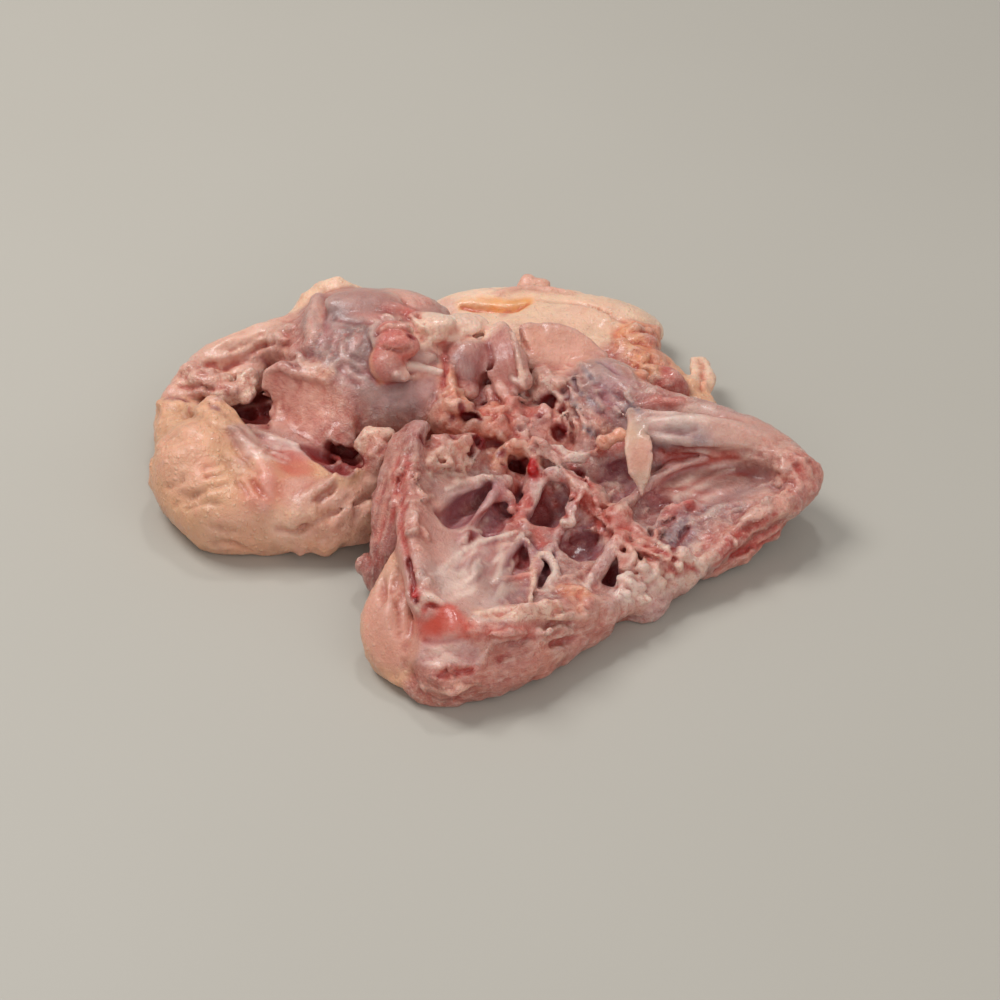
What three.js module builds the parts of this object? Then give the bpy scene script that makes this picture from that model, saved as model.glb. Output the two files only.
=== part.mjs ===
// A raw chicken back: backbone, opened ribcage and hip end with one thigh's meat, lying on its skin.
// Millimetres, +Z up, +X across the ribs towards the pointed side, +Y towards the tail skin.
// The meat is shaped like clay: rounded lumps, strands, bands and sheets are blended into one
// distance field, the field's zero surface is meshed, and the mesh is thinned to a few faces.
// Each point below is [x, y, height, radius], or [x, y, height, half width, half thickness] on a band.
import * as THREE from 'three';

const SPACING = 2;
const LOWEST = [-122, -106, -1.5 * SPACING];
const HIGHEST = [108, 124, 60];
const MOST_FACES = 10800;
const FAR = 1e3;
const FLOOR_LIMIT = 1e-6;
const MEAT_COLOUR = 0xc98f80;

const SOFT = 5;
const MEDIUM = 3;
const FIRM = 2;
const CRISP = 1.5;
const SHARP = 1;

// Shapes: each has a box and a signed distance

function boxAround(points, reach) {
  const low = [0, 1, 2].map((i) => Math.min(...points.map((p, n) => p[i] - reach(p, n))));
  const high = [0, 1, 2].map((i) => Math.max(...points.map((p, n) => p[i] + reach(p, n))));
  return { low, high };
}

// An ellipsoid of half sizes, turned about the vertical by some degrees
function lump(at, half, turn = 0) {
  const angle = THREE.MathUtils.degToRad(turn);
  const [c, s] = [Math.cos(angle), Math.sin(angle)];
  const reach = Math.max(...half);
  const distance = (x, y, z) => {
    const [dx, dy, dz] = [x - at[0], y - at[1], z - at[2]];
    const u = (c * dx + s * dy) / half[0];
    const v = (c * dy - s * dx) / half[1];
    const w = dz / half[2];
    const k0 = Math.hypot(u, v, w);
    const k1 = Math.hypot(u / half[0], v / half[1], w / half[2]);
    return k1 > 0 ? (k0 * (k0 - 1)) / k1 : -Math.min(...half);
  };
  return { ...boxAround([at], () => reach), distance };
}

// Points along a smooth line through the given ones, every value smoothed alike
function smooth(points, parts = 4) {
  const line = [];
  const at = (i) => points[Math.min(Math.max(i, 0), points.length - 1)];
  for (let i = 0; i < points.length - 1; i += 1) {
    const [a, b, c, d] = [at(i - 1), at(i), at(i + 1), at(i + 2)];
    for (let n = 0; n < parts; n += 1) {
      const t = n / parts;
      line.push(b.map((_, k) => 0.5 * (2 * b[k] + (c[k] - a[k]) * t
        + (2 * a[k] - 5 * b[k] + 4 * c[k] - d[k]) * t * t
        + (3 * b[k] - a[k] - 3 * c[k] + d[k]) * t * t * t)));
    }
  }
  line.push([...points[points.length - 1]]);
  return line;
}

// A round strand that follows the points
function strand(points) {
  const line = smooth(points);
  const distance = (x, y, z) => {
    let best = FAR;
    for (let i = 0; i < line.length - 1; i += 1) {
      const [a, b] = [line[i], line[i + 1]];
      const [ex, ey, ez] = [b[0] - a[0], b[1] - a[1], b[2] - a[2]];
      const length2 = ex * ex + ey * ey + ez * ez || 1;
      const along = ((x - a[0]) * ex + (y - a[1]) * ey + (z - a[2]) * ez) / length2;
      const t = Math.min(Math.max(along, 0), 1);
      const off = Math.hypot(x - a[0] - t * ex, y - a[1] - t * ey, z - a[2] - t * ez);
      best = Math.min(best, off - a[3] - t * (b[3] - a[3]));
    }
    return best;
  };
  return { ...boxAround(line, (p) => p[3]), distance };
}

// A flat band that follows the points, its flat side facing the given way
function band(points, face) {
  const line = smooth(points);
  const out = new THREE.Vector3(...face).normalize();
  const parts = [];
  for (let i = 0; i < line.length - 1; i += 1) {
    const [a, b] = [line[i], line[i + 1]];
    const step = new THREE.Vector3(b[0] - a[0], b[1] - a[1], b[2] - a[2]);
    const ahead = step.clone().normalize();
    const side = new THREE.Vector3().crossVectors(out, ahead).normalize();
    const up = new THREE.Vector3().crossVectors(ahead, side);
    parts.push({ a, b, step, side, up, length2: step.lengthSq() || 1 });
  }
  const distance = (x, y, z) => {
    let best = FAR;
    for (const { a, b, step, side, up, length2 } of parts) {
      const [px, py, pz] = [x - a[0], y - a[1], z - a[2]];
      const t = Math.min(Math.max((px * step.x + py * step.y + pz * step.z) / length2, 0), 1);
      const [rx, ry, rz] = [px - t * step.x, py - t * step.y, pz - t * step.z];
      const thick = a[4] + t * (b[4] - a[4]);
      const wide = Math.max(a[3] + t * (b[3] - a[3]) - thick, 0);
      const across = Math.abs(rx * side.x + ry * side.y + rz * side.z);
      const above = rx * up.x + ry * up.y + rz * up.z;
      const past2 = rx * rx + ry * ry + rz * rz - across * across - above * above;
      const out2 = Math.max(across - wide, 0) ** 2 + above * above + Math.max(past2, 0);
      best = Math.min(best, Math.sqrt(out2) - thick);
    }
    return best;
  };
  return { ...boxAround(line, (p) => Math.max(p[3], p[4])), distance };
}

// A sheet stretched between two lines that have the same number of points
function sheet(first, second) {
  const corner = (p) => ({ at: new THREE.Vector3(p[0], p[1], p[2]), thick: p[3] });
  const faces = [];
  for (let i = 0; i < first.length - 1; i += 1) {
    const [a, b, c, d] = [first[i], first[i + 1], second[i + 1], second[i]].map(corner);
    faces.push([a, b, c], [a, c, d]);
  }
  const triangles = faces.map(([a, b, c]) => ({
    plane: new THREE.Triangle(a.at, b.at, c.at), thick: [a.thick, b.thick, c.thick],
  }));
  const point = new THREE.Vector3();
  const near = new THREE.Vector3();
  const share = new THREE.Vector3();
  const distance = (x, y, z) => {
    let best = FAR;
    point.set(x, y, z);
    for (const { plane, thick } of triangles) {
      plane.closestPointToPoint(point, near);
      plane.getBarycoord(near, share);
      const half = thick[0] * share.x + thick[1] * share.y + thick[2] * share.z;
      best = Math.min(best, near.distanceTo(point) - half);
    }
    return best;
  };
  return { ...boxAround([...first, ...second], (p) => p[3]), distance };
}

// The clay: signed distances on a grid, below zero inside

class Clay {
  constructor() {
    this.counts = LOWEST.map((low, i) => Math.ceil((HIGHEST[i] - low) / SPACING) + 1);
    this.field = new Float64Array(this.counts[0] * this.counts[1] * this.counts[2]).fill(FAR);
  }

  index(i, j, k) {
    return (i * this.counts[1] + j) * this.counts[2] + k;
  }

  place(i, j, k) {
    return [LOWEST[0] + i * SPACING, LOWEST[1] + j * SPACING, LOWEST[2] + k * SPACING];
  }

  // Calls change(value, distance) wherever the shape, or its blend, can reach
  each(shape, margin, change) {
    const from = LOWEST.map((low, i) => Math.max(Math.floor((shape.low[i] - margin - low) / SPACING), 0));
    const to = LOWEST.map((low, i) => (
      Math.min(Math.ceil((shape.high[i] + margin - low) / SPACING), this.counts[i] - 1)));
    for (let i = from[0]; i <= to[0]; i += 1) {
      for (let j = from[1]; j <= to[1]; j += 1) {
        for (let k = from[2]; k <= to[2]; k += 1) {
          const n = this.index(i, j, k);
          this.field[n] = change(this.field[n], shape.distance(...this.place(i, j, k)));
        }
      }
    }
  }

  add(shape, blend) {
    this.each(shape, 1.2 * blend + 2 * SPACING, (f, d) => {
      const h = Math.min(Math.max(0.5 + (0.5 * (f - d)) / blend, 0), 1);
      return f * (1 - h) + d * h - blend * h * (1 - h);
    });
  }

  cut(shape, blend) {
    this.each(shape, 1.2 * blend + 2 * SPACING, (f, d) => {
      const h = Math.min(Math.max(0.5 - (0.5 * (f + d)) / blend, 0), 1);
      return f * (1 - h) - d * h + blend * h * (1 - h);
    });
  }

  // Trims the clay flat where it rests on the table
  standOnFloor() {
    for (let n = 0; n < this.field.length; n += 1) {
      const z = LOWEST[2] + (n % this.counts[2]) * SPACING;
      this.field[n] = Math.max(this.field[n], -z);
    }
  }
}

// The chicken back, sub-part by sub-part

const SPINE = [[43, -54, 5, 6], [37, -44, 6, 6], [31, -30, 7, 6], [24, -14, 8, 7], [14, -3, 10, 8],
  [6, 8, 12, 9], [1, 22, 13, 10], [-4, 38, 14, 11], [-10, 54, 12, 10]];
const SPINE_FILM = [[40, -52, 7, 3], [36, -44, 6, 3], [31, -36, 6, 3], [25, -26, 6, 3], [20, -18, 7, 3],
  [16, -12, 8, 3], [12, -7, 9, 3], [8, -2, 11, 3], [4, 4, 14, 3]];
const LEFT_RIM = [[41, -55, 6, 3], [29, -64, 11, 3.2], [17, -73, 15, 3.6], [0, -84, 18, 4],
  [-12, -83, 20, 4], [-21, -74, 22, 4], [-25, -57, 23, 4], [-26, -37, 25, 4], [-26, -16, 26, 4]];
// The ways that the film between the left ribs and the skin round the near corner face
const RIB_FACE = [0.3, 0.1, 1];
const CORNER_FACE = [-0.6, -0.5, 0.6];

function backMeat(clay) {
  clay.add(strand(SPINE), SOFT);
  clay.add(sheet(
    [[40, -50, 4, 4], [30, -32, 4, 5], [20, -12, 5, 6], [8, 2, 6, 8], [0, 14, 8, 8]],
    [[26, -62, 5, 5], [8, -72, 7, 7], [-10, -80, 9, 9], [-18, -62, 10, 10], [-20, -26, 11, 11]],
  ), SOFT);
  clay.add(sheet(
    [[44, -50, 4, 4], [36, -34, 4, 5], [28, -16, 5, 6], [18, 0, 6, 7], [10, 16, 8, 8]],
    [[54, -42, 5, 3], [64, -32, 8, 3.5], [74, -14, 10, 4], [64, 2, 10, 7], [36, 20, 11, 9]],
  ), SOFT);
}

function leftRibs(clay) {
  clay.add(sheet(SPINE_FILM, LEFT_RIM), MEDIUM);
  clay.add(strand([[-9, -6, 25, 5], [-18, -11, 27, 4.5], [-24, -19, 27, 4], [-26, -33, 26, 4],
    [-25, -51, 25, 4], [-23, -65, 24, 3.5], [-21, -75, 23, 3.5]]), MEDIUM);
  clay.add(strand([[-12, -86, 20, 4], [0, -84, 19, 3.5], [11, -77, 17, 3.5], [21, -70, 14, 3.2],
    [32, -64, 11, 3], [41, -57, 8, 3]]), MEDIUM);
  clay.add(strand([[-14, -88, 9, 9], [0, -85, 8, 8], [13, -77, 8, 7.5], [26, -65, 6, 6]]), SOFT);
  clay.add(strand([[-4, -87, 13, 4], [8, -80, 12, 4], [20, -72, 10, 3]]), MEDIUM);
  // Hollows between the ribs
  clay.cut(band([[-1, -19, 18.5, 3, 2.5], [-9, -30, 21.5, 5, 3.2], [-16, -39, 23.5, 4, 2.2]],
    RIB_FACE), FIRM);
  clay.cut(band([[7, -14, 13, 3, 2.5], [2, -25, 15.5, 3.5, 2.8], [-4, -40, 18.5, 2.4, 2.2]], RIB_FACE), FIRM);
  clay.cut(band([[10, -41, 15.5, 2, 2], [6, -49, 17, 3.5, 2.5], [2, -58, 19, 1.5, 1.5]], RIB_FACE), FIRM);
  clay.cut(band([[14, -45, 13, 2.5, 2], [12, -53, 14.5, 2.5, 2], [10, -62, 15, 2, 1.6]], RIB_FACE), FIRM);
  // Thin ribs and folds of film
  clay.add(strand([[1, -16, 18, 2.2], [-3, -23, 18.5, 1.8], [-7, -35, 19.5, 1.8],
    [-11, -47, 21.5, 1.4]]), FIRM);
  clay.add(strand([[8, -42, 17, 1.8], [11, -49, 16.5, 1.8], [10, -58, 16.5, 1.5], [8, -67, 17, 1.4]]), CRISP);
  clay.add(strand([[10, -46, 17, 1.4], [14, -47, 16, 1.7], [16, -53, 16, 1.7], [13, -66, 16, 1.3]]), CRISP);
  clay.add(strand([[3, -14, 18, 1.8], [-4, -16, 19.5, 1.6], [-12, -24, 22, 1.6], [-18, -34, 24, 1.4]]), FIRM);
}

const NEAR_EDGE = [[44, -54, 6, 3], [59, -42, 8, 3], [75, -29, 13, 3], [88, -21, 15.5, 3.5],
  [93, -13, 17, 3.5]];
const WING_FLOOR = [[43, -50, 7, 3], [48, -32, 8, 3], [61, -19, 9, 3], [77, -5, 11, 3], [87, -8, 16, 3.5]];
const WING_BACK = [[24, -12, 9, 3], [34, -5, 10, 3], [53, 0, 13, 3], [71, 1, 15.5, 3], [85, -4, 17, 3.5]];
const FAR_WALL = [[31, 25, 26, 5], [47, 16, 25, 5], [61, 11, 24.5, 4.5], [75, 5, 23, 4.5], [87, -4, 20, 4.5]];

function rightRibs(clay) {
  clay.add(sheet(NEAR_EDGE, WING_FLOOR), MEDIUM);
  clay.add(sheet(WING_FLOOR, WING_BACK), MEDIUM);
  clay.add(sheet(WING_BACK, FAR_WALL), MEDIUM);
  clay.add(strand([[32, 29, 21, 8], [47, 19, 20, 8], [61, 13, 19, 7.5], [75, 8, 18, 7], [85, 0, 16.5, 6.5],
    [90, -6, 15, 5.5]]), SOFT);
  clay.add(band([[43, 4, 26, 5, 3], [58, -1, 27, 6, 3.5], [73, -2, 24.5, 5.5, 3.2], [83, -6, 22, 4, 2.8]],
    [0, -0.6, 0.8]), MEDIUM);
  clay.add(strand([[46, 2, 18, 4.5], [60, 1, 19, 5], [73, 0, 18.5, 4.5], [82, -4, 18, 3.5]]), MEDIUM);
  // The pointed outer corner
  clay.add(lump([90, -10, 15.5], [7, 7, 7.5]), MEDIUM);
  clay.add(strand([[86, -8, 21.5, 3], [91, -9, 20, 3.3], [93.5, -11, 17, 3.5], [92, -14, 13.5, 3.5],
    [88, -19, 12, 3], [78, -24, 10, 3]]), MEDIUM);
  // Lip of the near edge
  clay.add(strand([[59, -43, 9, 2.5], [67, -37, 12, 2.5], [75, -30, 15, 3], [85, -24, 17, 3]]), FIRM);
  clay.add(strand([[61, -39, 3.5, 2.5], [70, -34, 5, 3], [81, -25, 8, 3.5]]), MEDIUM);
  // Bays between the ribs, and the ribs
  clay.cut(lump([37, -8, 15], [7, 9, 3.2], -20), MEDIUM);
  clay.cut(lump([47, -21, 13], [5, 7, 2.6], -20), FIRM);
  clay.add(strand([[63, 0, 18, 1.4], [52, -4, 15.5, 1.6], [44, -12, 14, 1.6], [37, -21, 13, 1.8],
    [32, -28, 14, 2]]), FIRM);
  clay.add(strand([[61, -21, 13, 1.4], [57, -21, 13.5, 1.8], [52, -29, 12, 1.8], [49, -37, 11, 1.6]]), CRISP);
  clay.add(strand([[58, -20, 14, 1.6], [53, -22, 14, 1.8], [49, -24, 13, 1.6], [46, -31, 12, 1.5]]), CRISP);
  clay.add(strand([[69, -24, 13, 1.4], [63, -31, 13, 1.7], [58, -38, 12, 1.7]]), CRISP);
  clay.add(strand([[78, -22, 15, 1.4], [69, -22, 14, 1.7], [61, -26, 13, 1.6]]), FIRM);
}

// Backbone knobs: [x, y, height, half size]
const KNOBS = [[28, -18, 15, 5], [35, -29, 14, 5.5], [40, -35, 12, 5], [44, -41, 12, 5.5], [51, -43, 11, 5],
  [38, -49, 13, 4], [43, -51, 12, 4.2], [46, -47, 13, 3.6], [40, -54, 9, 3.5], [44, -56, 7, 3.4]];

// Dark pits beside the backbone: [x, y, height], half sizes
const PITS = [[[14, -22, 13], [6.5, 8.5, 5.5]], [[24, -37, 11.5], [6.5, 8.5, 5]],
  [[34.5, -50, 10], [4.5, 6, 4]]];
const PIT_TURN = -35;

function backbone(clay) {
  for (const [at, half] of PITS) clay.cut(lump(at, half, PIT_TURN), MEDIUM);
  clay.add(strand([[11, -11, 17, 3.4], [9, -19, 15, 2.8], [7, -25, 13, 2.2]]), FIRM);
  clay.add(strand([[16, -13, 19.5, 2.4], [21, -13, 18, 2.7], [24, -18, 17, 3]]), CRISP);
  for (const [x, y, z, r] of KNOBS) clay.add(lump([x, y, z], [0.9 * r, 0.9 * r, 0.85 * r]), FIRM);
  clay.add(strand([[46, -43, 14, 2.5], [50, -43, 14, 2.5], [55, -44, 12, 2]]), CRISP);
  clay.add(strand([[45, -51, 6, 3], [53, -46, 6, 2.8], [59, -40, 6, 2]]), FIRM);
  // Rib heads that bridge the pits
  clay.add(strand([[25, -14, 17.5, 2.4], [22, -22, 17, 1.9], [21, -27, 15, 2.6], [18, -32, 13, 1.8],
    [14, -38, 12, 1.6]]), CRISP);
  clay.add(strand([[36, -37, 15, 2.3], [33, -43, 14.5, 2.3], [30, -48, 13, 2.1], [25, -56, 11, 1.6]]), CRISP);
  clay.add(strand([[26, -57, 11, 2], [21, -59, 13, 2.1], [16, -61, 14, 1.9]]), CRISP);
}

// Cut end of the hip bones, in the middle
function cutBone(clay) {
  clay.add(lump([2, 13, 17], [13, 9, 7]), MEDIUM);
  clay.add(lump([-9, 10, 19], [9, 7, 6]), MEDIUM);
  clay.add(lump([14, 14, 17], [9, 8, 6]), MEDIUM);
  clay.add(strand([[-1, -8, 18, 2.6], [1, -4, 20, 2.6], [6, -2, 21, 2.5], [10, -4, 20, 2.2],
    [10, -8, 19, 2.2]]), CRISP);
  clay.cut(strand([[6, -6, 22, 2.7], [5, -4, 15, 2.8], [5, 2, 12, 2.2]]), CRISP);
  clay.add(strand([[10, 0, 22, 1.8], [15, -4, 22, 2.6], [21, -5, 21, 2.5], [25, -5, 20, 2]]), CRISP);
  clay.add(strand([[0, 27, 25, 2.4], [3, 20, 24, 2.4], [5, 14, 23, 2]]), CRISP);
}

// Hip meat behind the cut bone
function hipMeat(clay) {
  clay.add(lump([0, 34, 9], [34, 34, 12]), SOFT);
  clay.add(lump([33, 30, 21], [14, 11, 9], -15), SOFT);
  clay.add(lump([28, 20, 20], [10, 7, 7], -15), MEDIUM);
  clay.add(lump([16, 31, 21], [8, 7, 6.5]), MEDIUM);
  clay.add(lump([19, 25, 19], [7, 5, 5]), MEDIUM);
  clay.add(band([[9, 44, 28, 8, 2.5], [17, 45, 27, 9, 2.5], [26, 43, 25, 7, 2.5], [32, 41, 24, 4, 2]],
    [0, -0.35, 0.9]), MEDIUM);
  clay.add(lump([19, 47, 20], [15, 8, 6], -20), MEDIUM);
  clay.add(band([[-1, 46, 33, 4, 2], [0, 37, 33, 6, 2.2], [2, 29, 30.5, 7, 2.2], [5, 24, 26, 6, 2]],
    [-0.15, -0.75, 0.6]), FIRM);
  clay.add(lump([-9.5, 36, 26.5], [8.5, 8, 8.5]), FIRM);
  clay.add(lump([-13, 30, 25], [7, 6, 7]), FIRM);
  clay.add(strand([[-17, 27, 30, 2.5], [-16, 20, 28, 3], [-13, 15, 26, 3], [-10, 11, 25, 2]]), CRISP);
  clay.add(lump([-16, 12, 23], [6, 7, 6]), FIRM);
}

function thigh(clay) {
  clay.add(lump([-40, 42, 16], [31, 31, 25]), SOFT);
  clay.add(lump([-47, 52, 19], [21, 20, 20], -10), SOFT);
  clay.add(lump([-34, 56, 20], [22, 16, 19], -14), SOFT);
  clay.add(lump([-50, 59, 18], [18, 16, 18.5]), SOFT);
  clay.add(lump([-28, 23, 19], [13, 12, 12]), SOFT);
  clay.add(lump([-39, 23, 22], [12, 12, 11]), SOFT);
  clay.add(strand([[-47, 70, 33, 2], [-53, 70, 34.5, 3.2], [-58, 70, 32, 4], [-63, 67, 28, 4],
    [-66, 62, 23, 4], [-66, 55, 19, 4]]), MEDIUM);
  // Sheet of meat that hangs over the pit beside it
  clay.add(sheet([[-73, 28, 28, 2.2], [-68, 28, 30, 2.5], [-59, 26, 31, 3], [-48, 24, 32, 3]],
    [[-74, 19, 13, 2.2], [-68, 16, 14, 2.5], [-61, 11, 16, 3], [-48, 6, 18, 4]]), MEDIUM);
  clay.add(lump([-68, 51, 22], [9, 7, 8]), MEDIUM);
  clay.add(strand([[-59, 12, 14, 3], [-56, 9, 12, 3], [-52, 8, 10, 2.5]]), FIRM);
  // Scraps of meat and fat on its top
  clay.add(lump([-33, 33, 40], [6, 4, 4], -8), CRISP);
  clay.add(lump([-32, 27, 40], [7, 4.5, 4.5], -8), CRISP);
  clay.add(lump([-35, 20, 38], [5.5, 6, 5]), CRISP);
  clay.add(strand([[-32, 10, 38, 1.6], [-28, 13, 39.5, 1.9], [-23, 13, 39, 1.7],
    [-18, 14, 37.5, 1.4]]), SHARP);
  clay.add(lump([-22, 43, 36], [8, 6, 4.5]), FIRM);
  clay.add(lump([-13, 47, 33], [10, 5, 4.5], 15), FIRM);
}

// The roll of loose skin on the left, open towards the thigh
function leftSkin(clay) {
  clay.add(lump([-91, -1, 11], [17, 19, 17]), SOFT);
  clay.add(lump([-80, -14, 9], [20, 17, 15]), SOFT);
  clay.add(lump([-62, -16, 9], [22, 15, 13], -5), SOFT);
  clay.add(lump([-46, -13, 9], [14, 14, 11], 25), SOFT);
  clay.add(lump([-101, 20, 9], [9, 14, 10]), SOFT);
  clay.add(lump([-72, 9, 11], [20, 13, 8], -12), SOFT);
  clay.add(lump([-62, -3, 12], [14, 9, 8], -12), SOFT);
  clay.add(strand([[-89, 16, 24, 4], [-82, 6, 22, 4], [-72, -11, 20, 3], [-72, -23, 18, 3]]), SOFT);
  clay.add(strand([[-65, -27, 6, 3], [-60, -26, 15, 3], [-52, -21, 20, 3], [-45, -16, 22, 3],
    [-39, -9, 22, 3]]), FIRM);
  clay.add(strand([[-60, -28, 5, 3], [-55, -25, 12, 3], [-47, -20, 17, 3], [-39, -16, 19, 3]]), FIRM);
  clay.add(strand([[-53, -28, 5, 4], [-47, -24, 9, 4.5], [-40, -21, 11, 4.5]]), FIRM);
  // Floor of the pit
  clay.add(lump([-62, 30, 4], [30, 34, 6]), SOFT);
  clay.add(lump([-36, 2, 5], [20, 24, 8]), SOFT);
  // The fold behind the pit, with lumps of fat
  clay.add(strand([[-66, 61, 22, 6.5], [-74, 57, 22, 6.5], [-85, 53, 20, 6], [-94, 49, 18, 6],
    [-99, 41, 16, 5.5], [-104, 34, 15, 4]]), MEDIUM);
  clay.add(strand([[-67, 72, 10, 9], [-86, 59, 8, 9], [-100, 45, 7, 9], [-101, 32, 8, 9]]), SOFT);
  clay.add(lump([-91, 37, 18], [7, 6, 5]), FIRM);
  clay.add(lump([-96, 36, 17], [5, 5, 4]), FIRM);
  clay.add(strand([[-91, 28, 17, 2.5], [-85, 30, 19, 2.6], [-80, 30, 19, 2.4]]), CRISP);
  clay.add(strand([[-82, 33, 20, 2.2], [-79, 36, 22, 2.4]]), CRISP);
}

// Yellow skin and fat behind the hips
function tailSkin(clay) {
  clay.add(lump([16, 86, 8], [40, 16, 10], -6), SOFT);
  clay.add(lump([-3, 93, 8], [22, 8, 8]), SOFT);
  clay.add(lump([34, 78, 10], [18, 14, 10], -15), SOFT);
  clay.add(lump([8, 66, 9], [38, 22, 11]), SOFT);
  clay.add(lump([40, 50, 8], [18, 20, 10]), SOFT);
  clay.add(strand([[0, 94, 13, 2.6], [7, 98, 12.5, 2.6], [16, 99, 12, 2.4], [25, 97, 12, 2.2]]), FIRM);
  clay.add(lump([11, 104, 12.5], [4.5, 3, 3]), FIRM);
  clay.add(lump([10, 106, 14.5], [2.2, 2.2, 2.2]), FIRM);
  clay.add(sheet([[41, 72, 17, 2], [47, 72, 17, 2], [52, 73, 15, 2]],
    [[39, 57, 14, 2], [46, 57, 13, 2], [51, 67, 11, 2]]), FIRM);
  clay.add(lump([46, 54, 14], [10, 6, 6], -20), MEDIUM);
  clay.add(lump([52, 40, 16], [9, 6, 6], -25), MEDIUM);
  clay.add(strand([[51, 56, 10, 5], [62, 43, 9, 5], [69, 35, 10, 5]]), SOFT);
  // A thin flap
  clay.add(band([[63, 41, 11, 4, 2], [66, 48, 11, 4, 1.9], [66.5, 55, 10.5, 3.8, 1.8], [66, 62, 10, 3, 1.7]],
    [0, -0.7, 0.7]), CRISP);
}

// Strip of skin, yellow lobe and stump round the near corner
function nearCorner(clay) {
  clay.add(band([[-26, -7, 32, 5, 3], [-28, -15, 31, 6.5, 3.2], [-31, -28, 26, 7, 3.2],
    [-33, -39, 19, 6.5, 3.2], [-35, -45, 12, 5, 3], [-37, -47, 5, 4, 3]], CORNER_FACE), FIRM);
  clay.add(lump([-39, -42, 8], [3.5, 3.5, 4]), CRISP);
  clay.add(strand([[-42, -8, 26, 2.6], [-39, -7, 29, 3], [-35, -6, 30, 2.6]]), CRISP);
  clay.add(lump([-37, -11, 24], [5, 5, 6]), FIRM);
  clay.add(band([[-28, -53, 19, 4, 4], [-30, -61, 15, 7, 5], [-32, -72, 11, 8.5, 6], [-29, -80, 7, 8, 5.5],
    [-23, -85, 5, 6, 4]], CORNER_FACE), FIRM);
  clay.add(lump([-15, -78, 17], [9, 8, 6.5]), MEDIUM);
  clay.add(lump([-15, -83, 11.5], [10.5, 7.5, 7]), MEDIUM);
  clay.add(lump([-15, -89, 3.5], [11, 6, 5]), FIRM);
}

// Thin piece of film that stands on the far ribs
function filmLeaf(clay) {
  clay.add(band([[41, 9, 28, 2.4, 2], [42, 1, 27.5, 3.4, 2], [42, -7, 26, 4.3, 2], [42.5, -13, 22, 3.2, 2]],
    [-0.1, -0.6, 0.8]), CRISP);
  clay.add(strand([[38, -1, 25, 1.8], [35, 1, 24.5, 2], [32, -1, 22.5, 2]]), CRISP);
}

const SUB_PARTS = [backMeat, leftRibs, rightRibs, backbone, cutBone, hipMeat, thigh, leftSkin, tailSkin,
  nearCorner, filmLeaf];

// Meshing: six tetrahedra in each cell of the grid, which always gives a closed surface

const CELL = [[0, 0, 0], [1, 0, 0], [0, 1, 0], [1, 1, 0], [0, 0, 1], [1, 0, 1], [0, 1, 1], [1, 1, 1]];
const TETRAHEDRA = [[0, 1, 3, 7], [0, 3, 2, 7], [0, 2, 6, 7], [0, 6, 4, 7], [0, 4, 5, 7], [0, 5, 1, 7]];
const EDGE_MARGIN = 0.06;

function meshOf(clay) {
  const { field } = clay;
  const points = [];
  const faces = [];
  const known = new Map();
  const [a, b, side] = [new THREE.Vector3(), new THREE.Vector3(), new THREE.Vector3()];

  const pointBetween = (inner, outer) => {
    const key = inner.n < outer.n ? inner.n * field.length + outer.n : outer.n * field.length + inner.n;
    if (!known.has(key)) {
      const share = field[inner.n] / (field[inner.n] - field[outer.n]);
      const t = Math.min(Math.max(share, EDGE_MARGIN), 1 - EDGE_MARGIN);
      known.set(key, points.length);
      points.push(inner.at.map((v, i) => v + t * (outer.at[i] - v)));
    }
    return known.get(key);
  };
  const addFace = (p, q, r, outward) => {
    a.fromArray(points[q]).sub(side.fromArray(points[p]));
    b.fromArray(points[r]).sub(side);
    const facing = a.cross(b).dot(outward);
    faces.push(facing > 0 ? [p, q, r] : [p, r, q]);
  };

  const [ni, nj, nk] = clay.counts;
  for (let i = 0; i < ni - 1; i += 1) {
    for (let j = 0; j < nj - 1; j += 1) {
      for (let k = 0; k < nk - 1; k += 1) {
        const corners = CELL.map(([u, v, w]) => clay.index(i + u, j + v, k + w));
        const below = corners.filter((n) => field[n] < 0).length;
        if (below === 0 || below === 8) continue;
        for (const four of TETRAHEDRA) {
          const ends = four.map((c) => ({
            n: corners[c], at: clay.place(i + CELL[c][0], j + CELL[c][1], k + CELL[c][2]),
          }));
          const inner = ends.filter((e) => field[e.n] < 0);
          const outer = ends.filter((e) => field[e.n] >= 0);
          if (inner.length === 0 || outer.length === 0) continue;
          const outward = new THREE.Vector3();
          outer.forEach((e) => outward.addScaledVector(new THREE.Vector3(...e.at), 1 / outer.length));
          inner.forEach((e) => outward.addScaledVector(new THREE.Vector3(...e.at), -1 / inner.length));
          const [lone, others] = inner.length === 1 ? [inner[0], outer] : [outer[0], inner];
          if (inner.length === 2) {
            const pairs = [[0, 0], [0, 1], [1, 1], [1, 0]];
            const [p, q, r, s] = pairs.map(([m, n]) => pointBetween(inner[m], outer[n]));
            addFace(p, q, r, outward);
            addFace(p, r, s, outward);
          } else {
            const [p, q, r] = others.map((e) => (
              inner.length === 1 ? pointBetween(lone, e) : pointBetween(e, lone)));
            addFace(p, q, r, outward);
          }
        }
      }
    }
  }
  return { points, faces };
}

// Keeps the largest closed surface, so loose scraps go and sealed hollows are filled
function largestBody({ points, faces }) {
  const root = points.map((_, i) => i);
  const find = (i) => {
    let top = i;
    while (root[top] !== top) top = root[top];
    while (root[i] !== top) [root[i], i] = [top, root[i]];
    return top;
  };
  for (const [p, q, r] of faces) {
    root[find(q)] = find(p);
    root[find(r)] = find(p);
  }
  const sizes = new Map();
  for (const [p] of faces) sizes.set(find(p), (sizes.get(find(p)) ?? 0) + 1);
  const [main] = [...sizes].reduce((most, entry) => (entry[1] > most[1] ? entry : most));
  return { points, faces: faces.filter(([p]) => find(p) === main) };
}

// Thinning: the edge whose loss changes the surface least is collapsed first

const SHORTNESS = 2e-3;
const LEAST_TURN = 0.25;
const LEAST_SHAPE = 0.02;

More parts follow.
